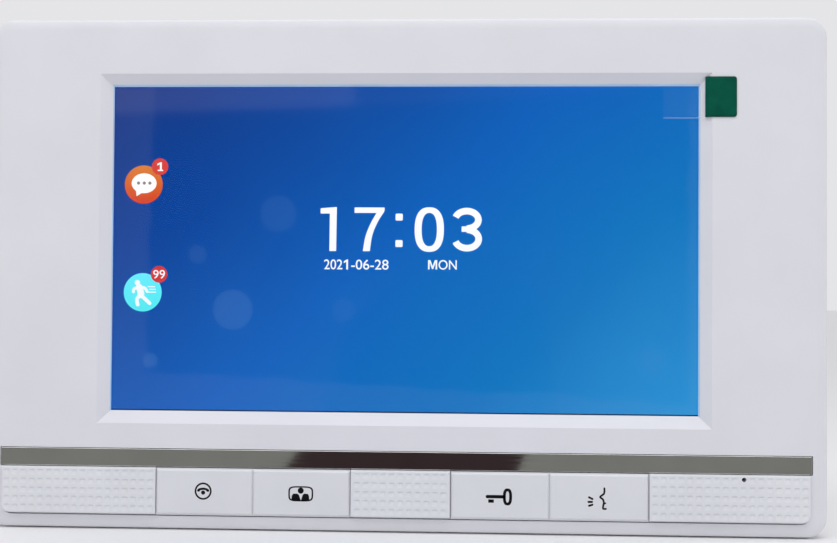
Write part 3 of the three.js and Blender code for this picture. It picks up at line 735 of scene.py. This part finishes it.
pads = {
    "columns": {"pad_left": 18, "pad_centre": 11, "pad_right": 18},
    "rows": 5,
    "pitchXMm": 2.25,
    "pitchZMm": 2.3,
    "dimpleHalfMm": (0.74, 0.66),
    "dimpleDepthMm": 0.22,
    "dimpleLean": 0.4,
    "stepMm": 0.19,
    "edgeMm": 0.35,
    "edgeSteps": 6,
    "sharpDegrees": 50,
    "cornerMm": {"pad_left": (2.3, 0), "pad_centre": (0, 0), "pad_right": (0, 2.3)},
    "holeMm": (88.3, -52.3),
    "holeRadiusMm": 0.58,
    "holeClearMm": 1.2,
}


# Even steps between two ends, with closer ones at both ends where the edge rounds over.
def easedSteps(low, high):
    edge = pads["edgeMm"] * mm
    ends = edge * (1 - np.cos(np.linspace(0, math.pi / 2, pads["edgeSteps"])))
    count = int((high - low - 2 * edge) / (pads["stepMm"] * mm))
    middle = np.linspace(low + edge, high - edge, count)[1:-1]
    return np.concatenate([low + ends, middle, high - ends[::-1]])


# Rounds one lower corner: inside the corner's square, a point (a, b) from 0 to 1 moves to
# (a * sqrt(1 - b^2 / 2), b * sqrt(1 - a^2 / 2)), which carries the square onto a quarter disc.
def roundCorner(x, z, cornerX, cornerZ, side, radius):
    if not radius:
        return x, z
    a = np.clip(1 - (cornerX - x) * side / radius, 0, 1)
    b = np.clip(1 - (z - cornerZ) / radius, 0, 1)
    newX = cornerX - side * radius * (1 - a * np.sqrt(1 - b * b / 2))
    newZ = cornerZ + radius * (1 - b * np.sqrt(1 - a * a / 2))
    inside = (a > 0) & (b > 0)
    return np.where(inside, newX, x), np.where(inside, newZ, z)


# Each pad's front is a height over a grid of x and z. Inside a dimple it drops by
# depth * (1 - lean + lean * dz / halfZ) * sqrt(1 - q), where q = (dx / halfX)^4 + (dz / halfZ)^8 from the
# nearest dimple's centre, so a dimple is deepest at its top. At the rim it drops by a quarter circle.
def padMesh(nodeName):
    low, high = (np.array(corner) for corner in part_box(nodeName))
    gridX, gridZ = easedSteps(low[0], high[0]), easedSteps(low[2], high[2])
    x, z = np.meshgrid(gridX, gridZ)
    midX, midZ = (low[0] + high[0]) / 2, (low[2] + high[2]) / 2
    columns, rows = pads["columns"][nodeName], pads["rows"]
    pitchX, pitchZ = pads["pitchXMm"], pads["pitchZMm"]
    halfStep = (columns - 1) / 2 % 1      # half a pitch where the columns are even in number
    fieldX = np.clip(np.round((x - midX) / (pitchX * mm) - halfStep), -columns, columns)
    centreX = midX + (fieldX + halfStep) * pitchX * mm
    centreZ = midZ + np.round((z - midZ) / (pitchZ * mm)) * pitchZ * mm
    halfX, halfZ = (half * mm for half in pads["dimpleHalfMm"])
    shape = np.clip(1 - ((x - centreX) / halfX) ** 4 - ((z - centreZ) / halfZ) ** 8, 0, 1)
    inField = np.abs(centreX - midX) < columns / 2 * pitchX * mm
    inField &= np.abs(centreZ - midZ) < rows / 2 * pitchZ * mm
    holeX, holeZ = (v * mm for v in pads["holeMm"])
    inField &= np.hypot(centreX - holeX, centreZ - holeZ) > pads["holeClearMm"] * mm
    lean = pads["dimpleLean"]
    slope = 1 - lean + lean * np.clip((z - centreZ) / halfZ, -1, 1)
    drop = pads["dimpleDepthMm"] * mm * slope * np.sqrt(shape) * inField
    edge = pads["edgeMm"] * mm
    rim = np.minimum(np.minimum(x - low[0], high[0] - x), np.minimum(z - low[2], high[2] - z))
    over = np.clip(1 - rim / edge, 0, 1)
    drop += edge * (1 - np.sqrt(1 - over * over))
    leftRadius, rightRadius = (radius * mm for radius in pads["cornerMm"][nodeName])
    x, z = roundCorner(x, z, low[0], low[2], -1, leftRadius)
    x, z = roundCorner(x, z, high[0], low[2], 1, rightRadius)
    y = low[1] + drop
    return solidFromFront(nodeName + "_dimpled", x, y, z, high[1])


# Closes a grid of front points with a skirt back to one plane and a back face that follows the same outline.
def solidFromFront(name, x, y, z, backY):
    rows, columns = x.shape
    index = np.arange(rows * columns).reshape(rows, columns)
    front = np.stack([index[:-1, :-1], index[:-1, 1:], index[1:, 1:], index[1:, :-1]], -1).reshape(-1, 4)
    outline = np.concatenate([index[0, :-1], index[:-1, -1], index[-1, :0:-1], index[:0:-1, 0]])
    points = np.stack([x, y, z], -1).reshape(-1, 3)
    behind = points[outline].copy()
    behind[:, 1] = backY
    first = len(points)
    ring = first + np.arange(len(outline))
    skirt = np.stack([outline, ring, np.roll(ring, -1), np.roll(outline, -1)], -1)
    mesh = bpy.data.meshes.new(name)
    faces = [*front.tolist(), *skirt.tolist(), ring.tolist()[::-1]]
    mesh.from_pydata(np.concatenate([points, behind]), [], faces)
    outwardFaces(mesh)
    return mesh


# drills the microphone hole through the right pad and applies the cut
def drillHole(piece):
    bpy.ops.mesh.primitive_cylinder_add(vertices=32, radius=pads["holeRadiusMm"] * mm, depth=20 * mm)
    drill = bpy.context.object
    drill.data.transform(Matrix.Rotation(math.pi / 2, 4, "X"))
    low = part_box("pad_right")[0]
    drill.location = (pads["holeMm"][0] * mm, low.y, pads["holeMm"][1] * mm)
    bpy.context.view_layer.update()
    hole = piece.modifiers.new("hole", "BOOLEAN")
    hole.object = drill
    hole.solver = "EXACT"
    drilled = bpy.data.meshes.new_from_object(piece.evaluated_get(bpy.context.evaluated_depsgraph_get()))
    piece.modifiers.clear()
    drilled.name = piece.data.name
    piece.data = drilled
    bpy.data.objects.remove(drill)


for nodeName in pads["columns"]:
    mesh = padMesh(nodeName)
    pad = addPiece("dimpled_" + nodeName, mesh, finish["textured_abs"], "monitor", [nodeName])
    if nodeName == "pad_right":
        drillHole(pad)
    shadeByAngle(pad.data, pads["sharpDegrees"])
print("pads ready")


# ---- flat marks: printed icons and the lit picture's signs ----

# points of a circle or an ellipse
def ovalLoop(x, z, radiusX, radiusZ=None, count=48):
    angle = np.linspace(0, 2 * math.pi, count, endpoint=False)
    return np.stack([x + radiusX * np.cos(angle), z + (radiusZ or radiusX) * np.sin(angle)], -1)


# Points of a superellipse, x = a * sign(cos) * |cos|^p and the same for z with sin; p under 1 squares it up.
def squaredLoop(x, z, radiusX, radiusZ, power):
    angle = np.linspace(0, 2 * math.pi, 64, endpoint=False)
    across, up = np.cos(angle), np.sin(angle)
    across = np.sign(across) * np.abs(across) ** power
    up = np.sign(up) * np.abs(up) ** power
    return np.stack([x + radiusX * across, z + radiusZ * up], -1)


# points of an arc, angles in degrees counter-clockwise from +X
def arcPath(x, z, radiusX, radiusZ, startDegrees, endDegrees):
    angle = np.radians(np.linspace(startDegrees, endDegrees, 24))
    return np.stack([x + radiusX * np.cos(angle), z + radiusZ * np.sin(angle)], -1)


# Outline of a line drawn along a path: each point moves half the width to both sides along the path's
# normal, and round ends add half circles.
def strokeLoop(path, width, roundEnds=False):
    path = np.asarray(path, float)
    along = np.gradient(path, axis=0)
    along /= np.linalg.norm(along, axis=1, keepdims=True)
    side = np.stack([-along[:, 1], along[:, 0]], -1) * width / 2
    left, right = path + side, path - side
    if not roundEnds:
        return np.concatenate([left, right[::-1]])
    turn = np.linspace(0, math.pi, 9)[1:-1, None]
    endCap = path[-1] + np.cos(turn) * side[-1] + np.sin(turn) * along[-1] * width / 2
    startCap = path[0] - np.cos(turn) * side[0] - np.sin(turn) * along[0] * width / 2
    return np.concatenate([left, endCap, right[::-1], startCap])


# a smooth path through a few given points, by Catmull-Rom: each span blends its four nearest points
def smoothPath(points):
    points = np.asarray(points, float)
    padded = np.concatenate([2 * points[:1] - points[1:2], points, 2 * points[-1:] - points[-2:-1]])
    t = np.linspace(0, 1, 8, endpoint=False)[None, :, None]
    p0, p1, p2, p3 = (padded[i : len(padded) - 3 + i, None, :] for i in range(4))
    square, cube = 2 * p0 - 5 * p1 + 4 * p2 - p3, 3 * p1 - p0 - 3 * p2 + p3
    spans = 0.5 * (2 * p1 + (p2 - p0) * t + square * t**2 + cube * t**3)
    return np.concatenate([spans.reshape(-1, 2), points[-1:]])


# Fills groups of closed loops, in mm, as thin plates standing on a plane. Loops within a group cut holes in
# each other; groups lie side by side or overlap.
def flatMark(name, groups, standsOnY, thickMm, material, body):
    shape = bmesh.new()
    for loops in groups:
        curve = bpy.data.curves.new(name, "CURVE")
        curve.dimensions = "2D"
        curve.fill_mode = "BOTH"
        curve.extrude = thickMm / 2
        for loop in loops:
            spline = curve.splines.new("POLY")
            spline.points.add(len(loop) - 1)
            spline.points.foreach_set("co", np.pad(loop, ((0, 0), (0, 2))).astype(np.float32).ravel())
            spline.use_cyclic_u = True
        holder = bpy.data.objects.new(name, curve)
        plate = bpy.data.meshes.new_from_object(holder)
        shape.from_mesh(plate)
        bpy.data.objects.remove(holder)
        bpy.data.meshes.remove(plate)
        bpy.data.curves.remove(curve)
    bmesh.ops.remove_doubles(shape, verts=shape.verts, dist=1e-4)
    shape.transform(Matrix.Rotation(math.pi / 2, 4, "X"))
    shape.transform(Matrix.Scale(mm, 4))
    shape.transform(Matrix.Translation((0, standsOnY - thickMm / 2 * mm, 0)))
    bmesh.ops.recalc_face_normals(shape, faces=shape.faces)
    mesh = bpy.data.meshes.new(name)
    shape.to_mesh(mesh)
    shape.free()
    addPiece(name, mesh, material, body)


# ---- key caps and their printed icons ----

keyPrint = {"thickMm": 0.012, "lineMm": 0.57}
ledge = {"outMm": (0.12, 0.3), "insideMm": (0.3, 0.3), "frontMm": 0.45, "backMm": 1.1, "flangeMm": 1.2}
iconCentresMm = {
    "monitor": (-51.58, -57.1),
    "intercom": (-25.92, -57.45),
    "unlock": (25.7, -57.5),
    "talk": (50.85, -57.7),
}


# shifts every loop to an icon's centre
def movedTo(centre, groups):
    return [[loop + np.array(centre) for loop in loops] for loops in groups]


# a ring with a hung-up handset over a round eye
def monitorIcon(line):
    ring = [ovalLoop(0, 0, 2.24), ovalLoop(0, 0, 2.24 - line * 0.8)]
    grip = smoothPath([(-1.3, 0.12), (-0.95, 0.45), (0, 0.62), (0.95, 0.45), (1.3, 0.12)])
    ends = [[ovalLoop(side * 1.2, 0.2, 0.4, 0.34)] for side in (-1, 1)]
    eye = ovalLoop(0.0, -0.38, 0.54)
    return [ring, [strokeLoop(grip, 0.58, True)], *ends, [eye]]


# two callers' shoulders and one head between them, in a rounded frame
def intercomIcon(line):
    outer = squaredLoop(0, 0, 3.25, 1.98, 0.48)
    inner = squaredLoop(0, 0, 3.25 - line * 0.7, 1.98 - line * 0.62, 0.44)
    head = ovalLoop(0.0, 0.84, 0.78)
    left = [(-2.45, -1.72), (-2.35, -0.55), (-2.0, 0.0), (-0.9, 0.05), (-0.45, -0.3), (0.02, -1.72)]
    right = [(0.08, -1.72), (0.5, -0.3), (0.85, 0.05), (1.85, 0.0), (2.15, -0.5), (2.3, -1.72)]
    return [[outer, inner], [head], [np.array(left)], [np.array(right)]]


# a key lying on its side, bow to the right
def unlockIcon(line):
    wide = line * 1.3
    bow = [squaredLoop(2.12, 0, 1.18, 2.18, 0.78), squaredLoop(2.12, 0, 1.18 - wide, 2.18 - wide, 0.8)]
    shaft = strokeLoop([(-3.1, 0.02), (1.2, 0.02)], line * 1.5, True)
    bit = strokeLoop([(-2.85, -1.12), (-1.4, -1.12)], 0.85)
    return [bow, [shaft], [bit]]


# a face in profile, speaking to the left
def talkIcon(line):
    brow = [(1.85, 2.75), (1.88, 2.1), (1.76, 1.4), (1.3, 0.98), (0.84, 0.62), (0.88, 0.36), (1.45, -0.05)]
    chin = [(1.68, -0.6), (1.72, -1.1), (1.6, -1.6), (1.52, -2.2), (1.62, -2.5), (2.25, -2.52)]
    profile = strokeLoop(smoothPath(brow + chin), line * 0.85, True)
    lip = strokeLoop([(1.68, -1.3), (2.14, -1.06)], line * 0.7, True)
    sounds = [[(-2.05, 0.4), (-1.2, -0.02)], [(-2.2, -0.77), (-1.3, -0.77)], [(-2.05, -1.78), (-1.2, -1.5)]]
    return [[profile], [lip], *[[strokeLoop(sound, line * 0.9, True)] for sound in sounds]]


# A ledge round a cap, set back from its face, that half closes the gap to its neighbours: the cap's outline
# pushed out and in by fixed distances.
def capLedge(keyName):
    low, high = (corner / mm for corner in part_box("key_" + keyName))
    centre = np.array((low.x + high.x, low.z + high.z)) / 2
    half = np.array((high.x - low.x, high.z - low.z)) / 2 - (0, ledge["flangeMm"])
    corners = np.array([(-1, -1), (1, -1), (1, 1), (-1, 1)])
    loops = [centre + corners * (half + ledge["outMm"]), centre + corners * (half - ledge["insideMm"])]
    backY, thick = (low.y + ledge["backMm"]) * mm, ledge["backMm"] - ledge["frontMm"]
    flatMark(keyName + "_ledge", [loops], backY, thick, finish["key_abs"], keyName + "_key")


drawIcon = {"monitor": monitorIcon, "intercom": intercomIcon, "unlock": unlockIcon, "talk": talkIcon}
for keyName, centreMm in iconCentresMm.items():
    body = keyName + "_key"
    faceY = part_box("key_" + keyName)[0].y
    groups = movedTo(centreMm, drawIcon[keyName](keyPrint["lineMm"]))
    capLedge(keyName)
    flatMark(keyName + "_icon", groups, faceY, keyPrint["thickMm"], finish["ink"], body)
print("keys ready")


# ---- the lit picture's signs ----

signs = {
    "thickMm": 0.01,
    "boldMm": 0.006,
    "digitLowMm": 6.0,
    "digitHighMm": 17.55,
    "strokeMm": 1.85,
    "message": (-69.1, 23.45),
    "motion": (-69.05, -5.2),
    "discRadiusMm": 5.1,
    "badgeRadiusMm": 2.22,
    "messageBadge": (-64.77, 28.24),
    "motionBadge": (-64.7, -0.4),
    # figures in the built-in font, each with the low and high corner of its box
    "words": {
        "date_year": ("202", (-20.7, 1.15), (-15.85, 3.8)),
        "date_rest": ("-06-28", (-13.54, 1.15), (-3.66, 3.8)),
        "weekday_rest": ("ON", (9.5, 1.25), (14.29, 3.78)),
    },
    "oneBox": ((-15.5, 1.15), (-14.3, 3.8)),
    "emBox": ((6.73, 1.28), (9.15, 3.75)),
}
white = litMark("lit white sign", "#F4FAFF", "#FFFFFF", 0, 18)
orange = litMark("lit orange disc", "#D43A18", "#DD7E2C", 18.5, 28.5)
cyan = litMark("lit cyan disc", "#4FEAF2", "#66EDFF", -10.3, 0)
red = litMark("lit red badge", "#D03438", "#D84038", -3, 30)
grey = litMark("lit grey dots", "#8C7F80", "#8C7F80", 0, 30)


# a lit sign on the glass; level 0 lies on the glass and each next level on the one below
def litSign(name, groups, level, material):
    y = glassFront - level * signs["thickMm"] * mm
    flatMark(name, groups, y, signs["thickMm"], material, "monitor")


# one, seven, colon, nought and three, drawn as outlines and strokes
def clockDigits():
    low, high, line = signs["digitLowMm"], signs["digitHighMm"], signs["strokeMm"]
    one = [(-21.75, high - 0.25), (-17.45, high + 0.1), (-17.55, low), (-19.35, low), (-19.3, high - 1.65)]
    one.append((-21.75, high - 1.65))
    legRight = smoothPath([(-4.82, high - 0.95), (-6.6, 13.7), (-8.0, 10.2), (-8.65, low)])
    legLeft = smoothPath([(-10.5, low), (-9.85, 9.8), (-8.6, 13.1), (-6.95, high - 1.45)])
    seven = np.concatenate([[(-12.74, high), (-4.82, high)], legRight, legLeft, [(-12.74, high - 1.45)]])
    dots = [squaredLoop(-0.95, z, 0.95, 0.92, 0.25) for z in (15.03, 8.06)]
    middle, zeroHalf = (low + high) / 2, (high - low) / 2 + 0.1
    outer = squaredLoop(7.0, middle, 3.85, zeroHalf, 0.82)
    inner = squaredLoop(7.0, middle, 3.85 - line, zeroHalf - 1.5, 0.84)
    upper = strokeLoop(arcPath(16.85, 14.38, 3.05, 2.3, 163, -90), line * 0.95)
    lower = strokeLoop(arcPath(16.9, 9.34, 3.1, 2.42, 90, -163), line * 0.95)
    bar = strokeLoop([(15.5, 11.93), (17.2, 11.93)], line * 0.78)
    return [[np.array(one)], [seven], [dots[0]], [dots[1]], [outer, inner], [upper], [lower], [bar]]


# a bare "1" with a flag, in a box
def slimOne(low, high):
    stem = [(0.95, 1.0), (0.95, 0.0), (0.55, 0.0), (0.55, 0.78)]
    share = np.array([(0.0, 0.82), (0.62, 1.0), *stem, (0.0, 0.62)])
    return np.array(low) + share * (np.array(high) - np.array(low))


# a letter M in a box
def wideM(low, high):
    half = [(0.0, 0.0), (0.0, 1.0), (0.26, 1.0), (0.5, 0.36)]
    inner = [(0.82, 0.0), (0.82, 0.74), (0.57, 0.04), (0.43, 0.04), (0.18, 0.74), (0.18, 0.0)]
    share = np.array([*half, (0.74, 1.0), (1.0, 1.0), (1.0, 0.0), *inner])
    return np.array(low) + share * (np.array(high) - np.array(low))


# an orange disc with a speech bubble and its three dots
def messageSign():
    x, z = signs["message"]
    litSign("message_disc", [[ovalLoop(x, z, signs["discRadiusMm"], count=72)]], 0, orange)
    bubble = ovalLoop(x + 0.1, z + 0.35, 3.35, 2.65)
    tail = np.array([(x - 2.1, z - 1.2), (x - 1.9, z - 3.1), (x + 0.1, z - 1.9)])
    litSign("message_bubble", [[bubble], [tail]], 1, white)
    dots = [[ovalLoop(x + 0.15 + step, z + 0.4, 0.42, count=20)] for step in (-1.55, 0, 1.5)]
    litSign("message_dots", dots, 2, grey)


# a cyan disc with a running figure and three speed lines behind it
def motionSign():
    x, z = signs["motion"]
    litSign("motion_disc", [[ovalLoop(x, z, signs["discRadiusMm"], count=72)]], 0, cyan)
    strokes = [
        ([(-0.95, 1.35), (-0.55, 0.1), (-0.45, -0.7)], 1.75),
        ([(-0.9, 1.4), (-2.3, 0.9), (-2.5, 0.1)], 0.75),
        ([(-0.4, 1.3), (0.6, 1.1), (1.2, 0.2)], 0.75),
        ([(-0.6, -0.7), (-1.4, -1.6), (-1.5, -2.3), (-1.3, -3.3)], 0.95),
        ([(-0.4, -0.8), (0.8, -1.9), (1.9, -2.9)], 0.95),
        ([(1.5, 1.5), (3.2, 1.5)], 0.28),
        ([(1.9, 0.8), (3.4, 0.8)], 0.28),
        ([(1.6, 0.05), (3.5, 0.05)], 0.28),
    ]
    figure = [[strokeLoop(smoothPath(path), width, True) + np.array((x, z))] for path, width in strokes]
    head = [ovalLoop(x - 1.45, z + 2.55, 0.72, count=24)]
    litSign("motion_figure", [head, *figure], 1, white)


# the two red badges with their counts
def litBadges():
    (messageX, messageZ), (motionX, motionZ) = signs["messageBadge"], signs["motionBadge"]
    litSign("message_badge", [[ovalLoop(messageX, messageZ, signs["badgeRadiusMm"])]], 2, red)
    litSign("motion_badge", [[ovalLoop(motionX, motionZ, signs["badgeRadiusMm"])]], 2, red)
    one = slimOne((messageX - 0.75, messageZ - 1.15), (messageX + 0.55, messageZ + 1.15))
    foot = strokeLoop([(messageX - 0.6, messageZ - 1.0), (messageX + 0.85, messageZ - 1.0)], 0.34)
    litSign("message_count", [[one], [foot]], 3, white)
    litText("motion_count", "99", (motionX - 1.6, motionZ - 1.15), (motionX + 1.6, motionZ + 1.15), 3)


# One line of small lit figures in the built-in font, stretched to fill a box given by its corners in mm. Each
# coordinate runs with its share of the font's own box, and the depth gives the thickness.
def litText(name, words, lowMm, highMm, level=0):
    curve = bpy.data.curves.new(name, "FONT")
    curve.body = words
    curve.extrude = 0.5
    curve.offset = signs["boldMm"]
    holder = bpy.data.objects.new(name, curve)
    mesh = bpy.data.meshes.new_from_object(holder)
    bpy.data.objects.remove(holder)
    bpy.data.curves.remove(curve)
    points = np.zeros(len(mesh.vertices) * 3, np.float32)
    mesh.vertices.foreach_get("co", points)
    points = points.reshape(-1, 3)
    low, high = points.min(0), points.max(0)
    share = (points - low) / (high - low)
    x = lowMm[0] + share[:, 0] * (highMm[0] - lowMm[0])
    z = lowMm[1] + share[:, 1] * (highMm[1] - lowMm[1])
    standsOnY = glassFront - level * signs["thickMm"] * mm
    y = standsOnY / mm - share[:, 2] * signs["thickMm"]
    mesh.vertices.foreach_set("co", (np.stack([x, y, z], -1) * mm).astype(np.float32).ravel())
    mesh.name = name
    outwardFaces(mesh, 1e-7)
    mesh.materials.clear()
    addPiece(name, mesh, white, "monitor")


litSign("clock_digits", clockDigits(), 0, white)
messageSign()
motionSign()
litBadges()
for name, (words, low, high) in signs["words"].items():
    litText(name, words, low, high)
drawn = [[slimOne(*signs["oneBox"])], [wideM(*signs["emBox"])]]
litSign("date_and_weekday_slims", drawn, 0, white)
print("picture ready")


# ---- the film's rim on the foot of the window's slopes, pale blue with painted reflection of the picture ----

rim = {
    "halfMm": (77.1, 42.95),
    "footYMm": -20.0,
    "fallPerMm": 2.0 / 3.2,
    "thickMm": 0.04,
    "widthMm": {(-1, 0): 0.24, (1, 0): 0.34, (0, 1): 0.5},
}


# One strip for each side, a trapezium on the slope between the mitre lines at its two ends. A point d up the
# slope lies d outside the foot and d * fall nearer the viewer, and the front of the strip stands proud.
def makeRim():
    halfX, halfZ = rim["halfMm"]
    block = np.array([(0, 1, 3, 2), (4, 6, 7, 5), (0, 4, 5, 1), (2, 3, 7, 6), (0, 2, 6, 4), (1, 5, 7, 3)])
    points, faces = [], []
    for side, ((wayX, wayZ), width) in enumerate(rim["widthMm"].items()):
        layers = ((-rim["thickMm"] / 2, rim["thickMm"]), (0, width), (-1, 1))
        proud, away, end = np.meshgrid(*layers, indexing="ij")
        x = (wayX or end) * (halfX + away)
        y = rim["footYMm"] - away * rim["fallPerMm"] - proud
        z = pictureCentre.z / mm + (wayZ or end) * (halfZ + away)
        points.append(np.stack([x, y, z], -1).reshape(-1, 3) * mm)
        faces.append(block + 8 * side)
    mesh = bpy.data.meshes.new("film_rim")
    mesh.from_pydata(np.concatenate(points), [], np.concatenate(faces).tolist())
    outwardFaces(mesh)
    addPiece("film_rim", mesh, finish["film_rim"], "monitor")


makeRim()


# ---- film tab ----

tab = {
    "thickMm": 0.2,
    "tapeFromMm": 68.0,
    "slopeFromMm": 76.2,
    "greenFromMm": 78.6,
    "slopeToMm": 79.5,
    "tapeTopMm": 48.9,
    "tapeCornerMm": 0.01,
    "cornerMm": 0.7,
    "steps": (60, 14),      # along the strip and across it
}


# A bent strip: the path's profile in X and Y carried along Z, with its two far corners rounded by pulling
# the ends of each row in by r - sqrt(r^2 - d^2), d being how far the row is inside the corner.
def bentStrip(name, path, lowZ, highZ, cornerMm, finishName):
    path = np.asarray(path, float)
    columns, rows = tab["steps"]
    reach = np.concatenate([[0], np.cumsum(np.linalg.norm(np.diff(path, axis=0), axis=1))])
    steps = np.linspace(0, reach[-1], columns)
    x, y = np.interp(steps, reach, path[:, 0]), np.interp(steps, reach, path[:, 1])
    into = np.clip(cornerMm - (reach[-1] - steps), 0, cornerMm)
    pull = cornerMm - np.sqrt(cornerMm**2 - into**2)
    share = np.linspace(0, 1, rows)[:, None]
    z = (lowZ + pull) + share * (highZ - lowZ - 2 * pull)
    points = np.stack([np.broadcast_to(x, z.shape), np.broadcast_to(y, z.shape), z], -1).reshape(-1, 3) * mm
    index = np.arange(rows * columns).reshape(rows, columns)
    faces = np.stack([index[:-1, :-1], index[:-1, 1:], index[1:, 1:], index[1:, :-1]], -1).reshape(-1, 4)
    mesh = bpy.data.meshes.new(name)
    mesh.from_pydata(points, [], faces.tolist())
    mesh.shade_smooth()
    piece = addPiece(name, mesh, finish[finishName], "monitor", ["film_pull_tab"])
    thick = piece.modifiers.new("thickness", "SOLIDIFY")
    thick.thickness = tab["thickMm"] * mm
    thick.offset = 1.0


# clear tape on the film and up the slope, then the green grip over the slope's top and onto the face
def makeTab():
    low, high = (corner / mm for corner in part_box("film_pull_tab"))
    onFilm = high.y
    onFace = low.y + tab["thickMm"]
    foot, brow, greenFrom = tab["slopeFromMm"], tab["slopeToMm"], tab["greenFromMm"]
    slopeAt = onFilm + (greenFrom - foot) / (brow - foot) * (onFace - onFilm)
    tapePath = [(tab["tapeFromMm"], onFilm), (foot, onFilm), (greenFrom, slopeAt)]
    gripPath = [(greenFrom, slopeAt), (brow, onFace), (high.x, onFace)]
    bentStrip("film_tape", tapePath, low.z, tab["tapeTopMm"], tab["tapeCornerMm"], "clear_tape")
    bentStrip("film_grip", gripPath, low.z, high.z, tab["cornerMm"], "green_tape")


makeTab()
print("film tab ready")
